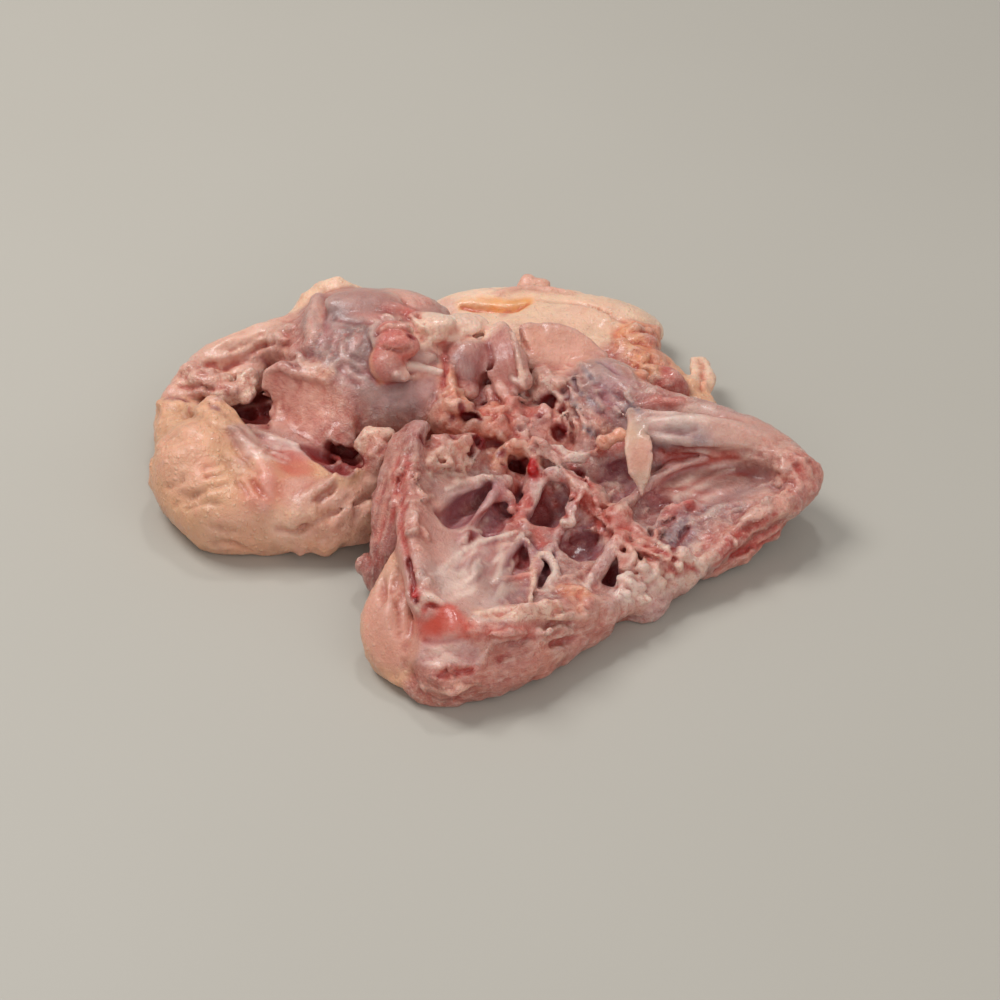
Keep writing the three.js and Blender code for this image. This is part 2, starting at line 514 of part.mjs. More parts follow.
// Smallest item first
class Heap {
  constructor() {
    this.items = [];
  }

  push(item) {
    const { items } = this;
    let i = items.push(item) - 1;
    while (i > 0) {
      const up = (i - 1) >> 1;
      if (items[up].cost <= item.cost) break;
      items[i] = items[up];
      i = up;
    }
    items[i] = item;
  }

  pop() {
    const { items } = this;
    const [top, last] = [items[0], items.pop()];
    if (items.length === 0) return top;
    let i = 0;
    for (;;) {
      let down = 2 * i + 1;
      if (down >= items.length) break;
      if (down + 1 < items.length && items[down + 1].cost < items[down].cost) down += 1;
      if (items[down].cost >= last.cost) break;
      items[i] = items[down];
      i = down;
    }
    items[i] = last;
    return top;
  }
}

// Sum of squared distances to planes, as the ten numbers of a symmetric matrix
function planeError(normal, point, weight) {
  const d = -normal.dot(point);
  const v = [normal.x, normal.y, normal.z, d];
  const error = [];
  for (let i = 0; i < 4; i += 1) for (let j = i; j < 4; j += 1) error.push(weight * v[i] * v[j]);
  return error;
}

function errorAt(e, [x, y, z]) {
  return e[0] * x * x + 2 * e[1] * x * y + 2 * e[2] * x * z + 2 * e[3] * x
    + e[4] * y * y + 2 * e[5] * y * z + 2 * e[6] * y + e[7] * z * z + 2 * e[8] * z + e[9];
}

function lowestPoint(e) {
  const matrix = new THREE.Matrix3(e[0], e[1], e[2], e[1], e[4], e[5], e[2], e[5], e[7]);
  if (Math.abs(matrix.determinant()) < 1e-3) return null;
  return new THREE.Vector3(-e[3], -e[6], -e[8]).applyMatrix3(matrix.invert()).toArray();
}

function thin({ points, faces }, most) {
  const around = points.map(() => new Set());
  faces.forEach((face, f) => face.forEach((p) => around[p].add(f)));
  const vector = (p) => new THREE.Vector3(...p);
  const cross = (p, q, r) => vector(q).sub(vector(p)).cross(vector(r).sub(vector(p)));
  const errors = points.map(() => new Array(10).fill(0));
  for (const face of faces) {
    const normal = cross(...face.map((i) => points[i]));
    const area = normal.length() / 2;
    const error = planeError(normal.normalize(), vector(points[face[0]]), area);
    for (const p of face) errors[p] = errors[p].map((v, i) => v + error[i]);
  }
  const changes = new Uint32Array(points.length);
  const onFloor = (p) => Math.abs(points[p][2]) < FLOOR_LIMIT;
  const heap = new Heap();
  const offer = (p, q) => {
    const error = errors[p].map((v, i) => v + errors[q][i]);
    const middle = points[p].map((v, i) => (v + points[q][i]) / 2);
    const length = Math.hypot(...points[p].map((v, i) => v - points[q][i]));
    let choices = [points[p], points[q], middle];
    const best = lowestPoint(error);
    if (best && Math.hypot(...best.map((v, i) => v - middle[i])) < length) choices.push(best);
    if (onFloor(p) !== onFloor(q)) choices = [onFloor(p) ? points[p] : points[q]];
    if (onFloor(p) && onFloor(q)) choices = [points[p], points[q], middle];
    for (const at of choices) at[2] = Math.max(at[2], 0);
    const costs = choices.map((at) => errorAt(error, at));
    const n = costs.indexOf(Math.min(...costs));
    const cost = Math.max(costs[n], 0) + SHORTNESS * length ** 2;
    heap.push({ cost, p, q, at: [...choices[n]], stamp: changes[p] + changes[q] });
  };
  const neighbours = (p) => {
    const found = new Set();
    for (const f of around[p]) for (const q of faces[f]) if (q !== p) found.add(q);
    return found;
  };
  const keepsShape = (p, q, at) => {
    for (const f of around[p]) {
      if (faces[f].includes(q)) continue;
      const was = cross(...faces[f].map((i) => points[i]));
      const corners = faces[f].map((i) => (i === p ? at : points[i]));
      const now = cross(...corners);
      const sides = [0, 1, 2].map((i) => vector(corners[i]).distanceToSquared(vector(corners[(i + 1) % 3])));
      if (now.length() < LEAST_SHAPE * Math.max(...sides)) return false;
      if (was.normalize().dot(now.normalize()) < LEAST_TURN) return false;
    }
    return true;
  };

  for (let p = 0; p < points.length; p += 1) for (const q of neighbours(p)) if (p < q) offer(p, q);
  let left = faces.length;
  while (left > most && heap.items.length > 0) {
    const { p, q, at, stamp } = heap.pop();
    if (stamp !== changes[p] + changes[q] || around[p].size === 0 || around[q].size === 0) continue;
    const [nearP, nearQ] = [neighbours(p), neighbours(q)];
    const shared = [...nearP].filter((r) => nearQ.has(r));
    const between = [...around[p]].filter((f) => around[q].has(f));
    if (shared.length !== 2 || between.length !== 2) continue;
    if (shared.some((r) => around[r].size <= 3)) continue;
    if (!keepsShape(p, q, at) || !keepsShape(q, p, at)) continue;
    for (const f of between) {
      for (const r of faces[f]) around[r].delete(f);
      faces[f] = null;
    }
    for (const f of around[q]) {
      faces[f] = faces[f].map((r) => (r === q ? p : r));
      around[p].add(f);
    }
    around[q].clear();
    points[p] = at;
    errors[p] = errors[p].map((v, i) => v + errors[q][i]);
    changes[p] += 1;
    changes[q] += 1;
    left -= 2;
    for (const r of neighbours(p)) offer(Math.min(p, r), Math.max(p, r));
  }
  return { points, faces: faces.filter((face) => face !== null) };
}

function geometryOf({ points, faces }) {
  const used = new Map();
  for (const face of faces) for (const p of face) if (!used.has(p)) used.set(p, used.size);
  const geometry = new THREE.BufferGeometry();
  const flat = [...used.keys()].flatMap((p) => points[p]);
  geometry.setAttribute('position', new THREE.Float32BufferAttribute(flat, 3));
  geometry.setIndex(faces.flatMap((face) => face.map((p) => used.get(p))));
  return geometry;
}

// Stands the geometry on the origin, under the middle of its box
function centre(geometry) {
  geometry.computeBoundingBox();
  const middle = geometry.boundingBox.getCenter(new THREE.Vector3());
  geometry.translate(-middle.x, -middle.y, 0);
  geometry.computeVertexNormals();
  return geometry;
}

function chickenBack() {
  const clay = new Clay();
  for (const shape of SUB_PARTS) shape(clay);
  clay.standOnFloor();
  const geometry = centre(geometryOf(thin(largestBody(meshOf(clay)), MOST_FACES)));
  const material = new THREE.MeshStandardMaterial({ color: MEAT_COLOUR, roughness: 0.4, metalness: 0 });
  const mesh = new THREE.Mesh(geometry, material);
  mesh.name = 'chicken_back';
  return mesh;
}

const group = new THREE.Group();
group.add(chickenBack());
export default group;
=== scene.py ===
# A raw chicken back, opened side up: ribs, backbone, hip meat, thigh meat and loose skin in one piece.
# Large forms are placed in millimetres, as in the solid. Small ones are placed by the column and row
# where they show in the photograph, on the surface that is already there.
import math

import bpy
import numpy as np
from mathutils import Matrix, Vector


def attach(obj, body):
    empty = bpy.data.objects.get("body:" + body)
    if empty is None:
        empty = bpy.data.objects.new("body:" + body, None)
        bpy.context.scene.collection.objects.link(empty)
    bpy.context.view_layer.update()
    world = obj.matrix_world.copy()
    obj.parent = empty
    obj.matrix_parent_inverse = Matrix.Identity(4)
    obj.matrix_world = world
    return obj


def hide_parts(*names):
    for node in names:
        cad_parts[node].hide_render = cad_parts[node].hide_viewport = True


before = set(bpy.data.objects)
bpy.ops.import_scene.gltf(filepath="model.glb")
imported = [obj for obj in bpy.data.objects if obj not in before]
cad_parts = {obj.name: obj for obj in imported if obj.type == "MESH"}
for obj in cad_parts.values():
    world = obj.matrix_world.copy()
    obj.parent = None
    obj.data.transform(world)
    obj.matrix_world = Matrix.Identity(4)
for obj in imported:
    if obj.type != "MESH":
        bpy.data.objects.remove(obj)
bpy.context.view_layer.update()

MM = 0.001
MIDDLE = (-6.22, 5.60)
SPACING = 0.8
MOST_TRIANGLES = 198000
LOWEST = (-122, -106, -1.5 * SPACING)
HIGHEST = (108, 124, 54)
FAR = 1e3
LEAST_HEIGHT = 1
LONGEST_STEP = 22
DEEPEST_GAP = 3.5

# The photograph's camera: its height over the table, distance in mm and focal length in pixels
CAMERA_ELEVATION = math.radians(38)
CAMERA_DISTANCE = 700
FOCAL_PIXELS = 2240
PHOTO_SIDE = 1000
SENSOR_MM = 36

SOFT, MEDIUM, CRISP, SHARP = 5, 3, 1.5, 0.8

# Each tissue: linear colour, then how much it looks like skin, fat, film, muscle fibre
TISSUES = {
    "skin": ((0.70, 0.37, 0.215), (1, 0, 0, 0)),
    "pink skin": ((0.70, 0.36, 0.26), (0.8, 0.2, 0, 0)),
    "tail skin": ((0.83, 0.54, 0.37), (0.8, 0.1, 0, 0)),
    "fat": ((0.82, 0.55, 0.41), (0, 1, 0, 0)),
    "pink fat": ((0.72, 0.38, 0.29), (0, 0.9, 0.1, 0)),
    "orange fat": ((0.74, 0.29, 0.16), (0, 0.7, 0, 0.2)),
    "orange": ((0.80, 0.36, 0.12), (0, 0.3, 0, 0)),
    "meat": ((0.50, 0.175, 0.13), (0, 0, 0.3, 0.7)),
    "pink meat": ((0.62, 0.27, 0.20), (0, 0, 0.4, 0.5)),
    "brown meat": ((0.35, 0.11, 0.09), (0, 0, 0.1, 0.9)),
    "red meat": ((0.53, 0.10, 0.075), (0, 0, 0.2, 0.6)),
    "thigh": ((0.47, 0.22, 0.18), (0, 0, 0.6, 0.2)),
    "film": ((0.50, 0.27, 0.225), (0, 0, 1, 0)),
    "grey film": ((0.26, 0.145, 0.13), (0, 0, 0.6, 0)),
    "window": ((0.36, 0.14, 0.155), (0, 0, 0.6, 0)),
    "bone": ((0.58, 0.30, 0.27), (0, 0, 0.8, 0)),
    "white": ((0.82, 0.60, 0.50), (0, 0.2, 0.4, 0)),
    "leaf film": ((0.55, 0.33, 0.22), (0, 0.1, 0.15, 0)),
    "marrow": ((0.55, 0.14, 0.10), (0, 0.3, 0.2, 0.5)),
    "blood": ((0.46, 0.0, 0.002), (0, 0, 0, 0)),
    "dark blood": ((0.17, 0.0, 0.002), (0, 0, 0, 0)),
    # Dark red painted into holes, grooves and hollows under overhangs: partly the real dark red of blood in them,
    # partly painted shade.
    "cavity": ((0.26, 0.028, 0.025), (0, 0, 0.3, 0)),
    "salmon": ((0.56, 0.075, 0.045), (0, 0, 0.15, 0.15)),
    "leaden film": ((0.25, 0.17, 0.18), (0, 0, 0.7, 0)),
}
TEXTURES = ("skin", "fat", "film", "muscle")


# Shapes, as signed distances in millimetres

def vec(values):
    return np.asarray(values, np.float32)


def smooth_line(points, parts=4):
    """A smooth line through the points, with every value of a point smoothed alike."""
    p = vec(points)
    if len(p) < 3:
        return p
    before = np.vstack([p[:1], p[:-2]])
    after = np.vstack([p[2:], p[-1:]])
    line = []
    for a, b, c, d in zip(before, p[:-1], p[1:], after):
        for t in np.arange(parts) / parts:
            line.append(0.5 * (2 * b + (c - a) * t + (2 * a - 5 * b + 4 * c - d) * t ** 2
                               + (3 * b - a - 3 * c + d) * t ** 3))
    return np.vstack(line + [p[-1]]).astype(np.float32)


class Lump:
    """An ellipsoid of half sizes, turned about the vertical by some degrees."""

    def __init__(self, at, half, turn=0):
        self.at, self.half = vec(at), vec(half)
        c, s = math.cos(math.radians(turn)), math.sin(math.radians(turn))
        self.turn = vec([[c, -s, 0], [s, c, 0], [0, 0, 1]])
        reach = np.sqrt(self.turn ** 2 @ self.half ** 2)
        self.low, self.high = self.at - reach, self.at + reach

    def distance(self, p):
        q = (p - self.at) @ self.turn
        k0 = np.sqrt(((q / self.half) ** 2).sum(1))
        k1 = np.sqrt(((q / self.half ** 2) ** 2).sum(1)) + 1e-9
        return k0 * (k0 - 1) / k1


class Strand:
    """A round strand through points of x, y, z, radius."""

    def __init__(self, points):
        self.line = smooth_line(points if len(points) > 1 else 2 * points)
        r = self.line[:, 3:4]
        self.low, self.high = (self.line[:, :3] - r).min(0), (self.line[:, :3] + r).max(0)

    def distance(self, p):
        best = np.full(len(p), FAR, np.float32)
        for a, b in zip(self.line[:-1], self.line[1:]):
            step = b[:3] - a[:3]
            t = np.clip(((p - a[:3]) @ step) / max(float(step @ step), 1e-9), 0, 1)
            off = p - a[:3] - t[:, None] * step
            best = np.minimum(best, np.sqrt((off * off).sum(1)) - (a[3] + t * (b[3] - a[3])))
        return best


class Band:
    """A flat band through points of x, y, z, half width, half thickness, its flat side facing one way."""

    def __init__(self, points, face):
        self.line = smooth_line(points)
        self.face = vec(face)
        r = self.line[:, 3:4]
        self.low, self.high = (self.line[:, :3] - r).min(0), (self.line[:, :3] + r).max(0)

    def distance(self, p):
        best = np.full(len(p), FAR, np.float32)
        for a, b in zip(self.line[:-1], self.line[1:]):
            step = b[:3] - a[:3]
            length = float(np.sqrt(step @ step)) + 1e-9
            ahead = step / length
            up = self.face - (self.face @ ahead) * ahead
            up = up / (np.sqrt(up @ up) + 1e-9)
            side = np.cross(up, ahead)
            t = np.clip(((p - a[:3]) @ ahead) / length, 0, 1)
            off = p - a[:3] - t[:, None] * step
            wide, thick = a[3] + t * (b[3] - a[3]), a[4] + t * (b[4] - a[4])
            past = np.maximum(np.abs(off @ side) - np.maximum(wide - thick, 0), 0)
            best = np.minimum(best, np.sqrt(past ** 2 + (off @ up) ** 2 + (off @ ahead) ** 2) - thick)
        return best


class Sheet:
    """A sheet stretched between two lines of points of x, y, z, half thickness."""

    def __init__(self, first, second):
        first, second = vec(first), vec(second)
        self.triangles = []
        for a, b, c, d in zip(first[:-1], first[1:], second[1:], second[:-1]):
            self.triangles += [(a, b, d), (b, c, d)]
        every = np.vstack([first, second])
        r = every[:, 3:4]
        self.low, self.high = (every[:, :3] - r).min(0), (every[:, :3] + r).max(0)

    def distance(self, p):
        best = np.full(len(p), FAR, np.float32)
        for triangle in self.triangles:
            best = np.minimum(best, triangle_distance(p, triangle))
        return best


def triangle_distance(p, triangle):
    corners = [c[:3] for c in triangle]
    normal = np.cross(corners[1] - corners[0], corners[2] - corners[0])
    area2 = float(normal @ normal) + 1e-9
    inside = np.ones(len(p), bool)
    edge2 = np.full(len(p), FAR * FAR, np.float32)
    shares = []
    for i in range(3):
        a, b = corners[i], corners[(i + 1) % 3]
        step, off = b - a, p - a
        side = off @ np.cross(normal, step)
        inside &= side >= 0
        t = np.clip((off @ step) / max(float(step @ step), 1e-9), 0, 1)
        rest = off - t[:, None] * step
        edge2 = np.minimum(edge2, (rest * rest).sum(1))
        shares.append(np.clip(side / area2, 0, 1))
    flat2 = ((p - corners[0]) @ normal) ** 2 / area2
    share = np.array([shares[1], shares[2], shares[0]])
    share = share / np.maximum(share.sum(0), 1e-6)
    thick = share[0] * triangle[0][3] + share[1] * triangle[1][3] + share[2] * triangle[2][3]
    return np.sqrt(np.where(inside, flat2, edge2)) - thick


def noise(p, size, seed):
    """Smooth lattice noise from -1 to 1, with features of about that size in millimetres."""
    table = np.random.RandomState(seed).uniform(-1, 1, (32, 32, 32)).astype(np.float32)
    q = p / size + 1000
    cell = np.floor(q).astype(np.int32)
    t = (q - cell).astype(np.float32)
    t = t * t * (3 - 2 * t)
    total = np.zeros(len(p), np.float32)
    for i in (0, 1):
        for j in (0, 1):
            for k in (0, 1):
                share = np.ones(len(p), np.float32)
                for axis, far in enumerate((i, j, k)):
                    share *= t[:, axis] if far else 1 - t[:, axis]
                total += share * table[tuple((cell[:, a] + f) % 32 for a, f in enumerate((i, j, k)))]
    return total


# Parts where the flesh is smooth: x, y, height, half sizes
SMOOTH_PARTS = [[-12, -52, 21, 20, 34, 9], [-66, 18, 22, 13, 13, 14], [-43, 52, 30, 20, 18, 18],
                [-34, 25, 28, 17, 15, 16], [15, 86, 12, 44, 24, 14], [20, 44, 27, 15, 7, 7], [2, 34, 32, 8, 14, 10],
                [33, 29, 24, 14, 12, 12], [68, -8, 15, 19, 13, 7], [62, 2, 26, 24, 11, 8], [-15, -82, 14, 12, 12, 12],
                [-31, -68, 12, 10, 18, 12], [-78, -10, 12, 30, 24, 16], [42, -3, 25, 6, 16, 8],
                [-82, 56, 18, 24, 16, 12], [-72, 5, 18, 16, 12, 8], [-16, 45, 36, 16, 10, 8], [-9, 31, 29, 8, 9, 9],
                [-34, 30, 38, 9, 10, 8]]


def calm(p):
    """How smooth the flesh is at each point, from 0 to 1."""
    most = np.zeros(len(p), np.float32)
    for x, y, z, a, b, c in SMOOTH_PARTS:
        most = np.maximum(most, np.clip(0.5 - Lump([x, y, z], [a, b, c]).distance(p) / 6, 0, 1))
    return most


def uneven(p):
    """Small shifts that keep every shape from being a plain ellipsoid or tube."""
    broad = np.stack([0.8 * noise(p, 4.4, seed) for seed in (61, 62, 63)], 1)
    fine = np.stack([0.35 * noise(p, 1.9, seed) for seed in (64, 65, 66)], 1)
    return (broad + fine) * (1 - 0.8 * calm(p))[:, None]


# The photograph's view, in the clay's own millimetres

EYE = vec([0, -CAMERA_DISTANCE * math.cos(CAMERA_ELEVATION), CAMERA_DISTANCE * math.sin(CAMERA_ELEVATION)])
AHEAD = -EYE / CAMERA_DISTANCE
RIGHT = vec([1, 0, 0])
UP = np.cross(RIGHT, AHEAD)


def sight(column, row):
    """The direction in which a pixel of the photograph is seen."""
    half = PHOTO_SIDE / 2
    ray = AHEAD + RIGHT * (column - half) / FOCAL_PIXELS - UP * (row - half) / FOCAL_PIXELS
    return ray / np.sqrt(ray @ ray)


class Clay:
    """A grid of signed distances, below zero inside, and a record of what each shape is made of."""

    def __init__(self):
        low, high = vec(LOWEST), vec(HIGHEST)
        counts = np.ceil((high - low) / SPACING).astype(int) + 1
        self.low = low
        self.field = np.full(counts, FAR, np.float32)
        self.axes = [low[i] + SPACING * np.arange(counts[i], dtype=np.float32) for i in range(3)]
        self.record = []
        self.strokes = []
        self.grain = (0, 0, 0)
        grid = np.stack([g.ravel() for g in np.meshgrid(*self.axes, indexing="ij")], 1)
        self.bend = (grid + uneven(grid)).reshape(*counts, 3)

    def window(self, shape, blend):
        margin = 1.2 * blend + 2 * SPACING
        first = np.floor((shape.low - margin - self.low) / SPACING).astype(int)
        last = np.ceil((shape.high + margin - self.low) / SPACING).astype(int) + 1
        first, last = np.maximum(first, 0), np.minimum(last, self.field.shape)
        part = tuple(slice(a, max(a, b)) for a, b in zip(first, last))
        return part, self.bend[part].reshape(-1, 3)

    def add(self, shape, blend, tissue):
        part, p = self.window(shape, blend)
        f = self.field[part]
        d = shape.distance(p).reshape(f.shape)
        h = np.clip(0.5 + 0.5 * (f - d) / blend, 0, 1)
        self.field[part] = f * (1 - h) + d * h - blend * h * (1 - h)
        self.record.append((shape, tissue, self.grain))

    def cut(self, shape, blend, tissue=None):
        part, p = self.window(shape, blend)
        f = self.field[part]
        d = -shape.distance(p).reshape(f.shape)
        h = np.clip(0.5 - 0.5 * (f - d) / blend, 0, 1)
        self.field[part] = f * (1 - h) + d * h + blend * h * (1 - h)
        if tissue:
            self.paint(shape, tissue, 1.5)

    def along(self, direction):
        """The way the muscle fibres run in the shapes added next."""
        self.grain = direction

    def paint(self, shape, tissue, fade, strength=1.0):
        self.strokes.append((shape, tissue, fade, strength))

    def seen(self, column, row, lift=0.0):
        """The point of the clay's surface that shows at that pixel, moved towards the camera by lift."""
        ray = sight(column, row)
        reach = np.arange(560, 860, 0.4, dtype=np.float32)
        p = EYE + reach[:, None] * ray
        cell = np.round((p - self.low) / SPACING).astype(int)
        inside = ((cell >= 0) & (cell < self.field.shape)).all(1)
        value = np.full(len(p), FAR, np.float32)
        value[inside] = self.field[tuple(cell[inside].T)]
        hits = np.nonzero((value < 0) | (p[:, 2] < 0))[0]
        return p[hits[0]] - lift * ray

    # Small features, each placed by pixels: column, row, then sizes in millimetres

    def bridged(self, before, pixel, last, at, lift):
        """Whether a strand between two places on the surface would span a gap or a drop."""
        halfway = self.seen(0.5 * (before[0] + pixel[0]), 0.5 * (before[1] + pixel[1]), lift)
        gap = halfway - 0.5 * (vec(last) + at)
        return np.hypot(*(at - last)[1:]) > LONGEST_STEP or math.sqrt(float(gap @ gap)) > DEEPEST_GAP

    def place(self, points, lift, bridges=False):
        """A strand on the surface under a line of pixels; it ends where the surface drops away."""
        placed = []
        for i, (c, r, *sizes) in enumerate(points):
            at = self.seen(c, r, lift)
            if at[2] < LEAST_HEIGHT:
                break
            if placed and not bridges and self.bridged(points[i - 1], (c, r), placed[-1][:3], at, lift):
                break
            placed.append((*at, *sizes))
        return Strand(placed) if placed else None

    def ridge(self, points, tissue, blend=CRISP, lift=0.3):
        strand = self.place(points, lift)
        if strand:
            self.add(strand, blend, tissue)

    def groove(self, points, blend=SHARP, tissue=None, lift=0.0):
        strand = self.place(points, lift, bridges=True)
        if strand:
            self.cut(strand, blend, tissue)

    def knob(self, column, row, half, tissue, turn=0, blend=CRISP, lift=0.0):
        self.add(Lump(self.seen(column, row, lift), half, turn), blend, tissue)

    def pit(self, column, row, half, turn=0, blend=CRISP, tissue=None, lift=0.0):
        self.cut(Lump(self.seen(column, row, lift), half, turn), blend, tissue)

    def tint(self, points, tissue, fade=2.0, strength=1.0):
        """Colours the surface along a line of pixels with radii in millimetres."""
        strand = self.place(points, 0, bridges=True)
        if strand:
            self.paint(strand, tissue, fade, strength)


def surface(field, low):
    """Surface nets: a vertex in each cell that the surface crosses, and a quad across each crossed edge."""
    inside = field < 0
    n = np.array(field.shape) - 1
    corners = [(i, j, k) for i in (0, 1) for j in (0, 1) for k in (0, 1)]
    count = np.zeros(n, np.int8)
    for i, j, k in corners:
        count += inside[i:n[0] + i, j:n[1] + j, k:n[2] + k]
    crossed = (count > 0) & (count < 8)
    cells = np.argwhere(crossed)
    index = np.full(n, -1, np.int64)
    index[crossed] = np.arange(len(cells))
    total = np.zeros((len(cells), 3), np.float32)
    hits = np.zeros(len(cells), np.float32)
    for axis in range(3):
        for corner in corners:
            if corner[axis]:
                continue
            a = np.array(corner)
            b = a + np.eye(3, dtype=int)[axis]
            fa, fb = field[tuple((cells + a).T)], field[tuple((cells + b).T)]
            cross = (fa < 0) != (fb < 0)
            t = np.where(cross, fa / np.where(cross, fa - fb, 1), 0)
            spot = a + t[:, None] * (b - a)
            total[cross] += spot[cross]
            hits += cross
    points = (cells + total / hits[:, None]) * SPACING + low
    quads = []
    for axis in range(3):
        u, v = (axis + 1) % 3, (axis + 2) % 3
        near, far = [slice(None)] * 3, [slice(None)] * 3
        near[axis], far[axis] = slice(0, -1), slice(1, None)
        inner = inside[tuple(near)]
        cross = np.argwhere(inner != inside[tuple(far)])
        cross = cross[(cross[:, u] > 0) & (cross[:, v] > 0)]
        du, dv = np.eye(3, dtype=int)[u], np.eye(3, dtype=int)[v]
        quad = np.stack([index[tuple((cross - s).T)] for s in (du + dv, dv, 0 * du, du)], 1)
        flip = ~inner[tuple(cross.T)]
        quad[flip] = quad[flip][:, ::-1]
        quads.append(quad)
    return points.astype(np.float32), np.vstack(quads)


# Main forms, in millimetres

SPINE = [[43, -54, 5, 6], [37, -44, 6, 6], [31, -30, 7, 6], [24, -14, 8, 7], [14, -3, 10, 8],
         [6, 8, 12, 9], [1, 22, 13, 10], [-4, 38, 14, 11], [-10, 54, 12, 10]]
SPINE_FILM = [[40, -52, 7, 3], [36, -44, 6, 3], [31, -36, 6, 3], [25, -26, 6, 3], [20, -18, 7, 3],
              [16, -12, 8, 3], [12, -7, 9, 3], [8, -2, 11, 3], [4, 4, 14, 3]]
LEFT_RIM = [[41, -55, 6, 3], [29, -64, 11, 3.2], [17, -73, 15, 3.6], [0, -84, 18, 4],
            [-12, -83, 20, 4], [-21, -74, 22, 4], [-25, -57, 23, 4], [-26, -37, 25, 4], [-26, -16, 26, 4]]
RIB_FACE = (0.3, 0.1, 1)
CORNER_FACE = (-0.6, -0.5, 0.6)


def back_meat(clay):
    clay.add(Strand(SPINE), SOFT, "bone")
    clay.add(Sheet([[40, -50, 4, 4], [30, -32, 4, 5], [20, -12, 5, 6], [8, 2, 6, 8], [0, 14, 8, 8]],
                   [[26, -62, 5, 5], [8, -72, 7, 7], [-10, -80, 9, 9], [-18, -62, 10, 10], [-20, -26, 11, 11]]),
             SOFT, "meat")
    clay.add(Sheet([[44, -50, 4, 4], [36, -34, 4, 5], [28, -16, 5, 6], [18, 0, 6, 7], [10, 16, 8, 8]],
                   [[54, -42, 5, 3], [64, -32, 8, 3.5], [74, -14, 10, 4], [64, 2, 10, 7], [36, 20, 11, 9]]),
             SOFT, "meat")


def left_ribs(clay):
    clay.add(Sheet(SPINE_FILM, LEFT_RIM), MEDIUM, "film")
    clay.add(Strand([[-9, -6, 25, 5], [-18, -11, 27, 4.5], [-24, -19, 27, 4], [-26, -33, 26, 4],
                     [-25, -51, 25, 4], [-23, -65, 24, 3.5], [-21, -75, 23, 3.5]]), MEDIUM, "meat")
    clay.add(Strand([[-12, -86, 20, 4], [0, -84, 19, 3.5], [11, -77, 17, 3.5], [21, -70, 14, 3.2],
                     [32, -64, 11, 3], [41, -57, 8, 3]]), MEDIUM, "pink meat")
    clay.along((0.85, 0.45, 0))
    clay.add(Strand([[-14, -88, 9, 9], [0, -85, 8, 8], [13, -77, 8, 7.5], [26, -65, 6, 6]]), SOFT, "meat")
    clay.add(Strand([[-4, -87, 13, 4], [8, -80, 12, 4], [20, -72, 10, 3]]), MEDIUM, "meat")
    clay.along((0, 0, 0))
    clay.cut(Band([[-1, -19, 18.5, 3, 2.5], [-9, -30, 21.5, 5, 3.2], [-16, -39, 23.5, 4, 2.2]], RIB_FACE), 2, "window")
    clay.cut(Band([[7, -14, 13.5, 3, 2.3], [2, -25, 15.5, 3.5, 2.8], [-4, -40, 18.5, 2.4, 2.2]], RIB_FACE), CRISP,
             "window")
    clay.cut(Band([[10, -41, 15.5, 2, 2], [6, -49, 17, 3.5, 2.5], [2, -58, 19, 1.5, 1.5]], RIB_FACE), CRISP, "window")
    clay.cut(Band([[14, -45, 13, 2.5, 2], [12, -53, 14.5, 2.5, 2], [10, -62, 15, 2, 1.6]], RIB_FACE), CRISP,
             "window")
    clay.add(Strand([[1, -16, 18, 2], [-3, -23, 18.5, 1.5], [-7, -35, 19.5, 1.4], [-11, -47, 21.5, 1.1]]), CRISP,
             "bone")
    clay.add(Strand([[8, -37, 17, 1.2], [4, -45, 18, 1.2], [1, -54, 19, 1.2], [-1, -63, 20, 1]]), CRISP, "film")
    clay.add(Strand([[8, -42, 17, 1.3], [11, -49, 16.5, 1.2], [10, -58, 16.5, 1.1], [8, -67, 17, 1]]), 1, "white")
    clay.add(Strand([[10, -46, 17, 1], [14, -47, 16, 1.2], [16, -53, 16, 1.2], [13, -66, 16, 0.9]]), 1, "white")
    clay.add(Strand([[3, -14, 18, 1.6], [-4, -16, 19.5, 1.4], [-12, -24, 22, 1.4], [-18, -34, 24, 1.2]]), 2, "film")


NEAR_EDGE = [[44, -54, 6, 3], [59, -42, 8, 3], [75, -29, 13, 3], [88, -21, 15.5, 3.5], [93, -13, 17, 3.5]]
WING_FLOOR = [[43, -50, 7, 3], [48, -32, 8, 3], [61, -19, 9, 3], [77, -5, 11, 3], [87, -8, 16, 3.5]]
WING_BACK = [[24, -12, 9, 3], [34, -5, 10, 3], [53, 0, 13, 3], [71, 1, 15.5, 3], [85, -4, 17, 3.5]]
FAR_WALL = [[31, 25, 26, 5], [47, 16, 25, 5], [61, 11, 24.5, 4.5], [75, 5, 23, 4.5], [87, -4, 20, 4.5]]


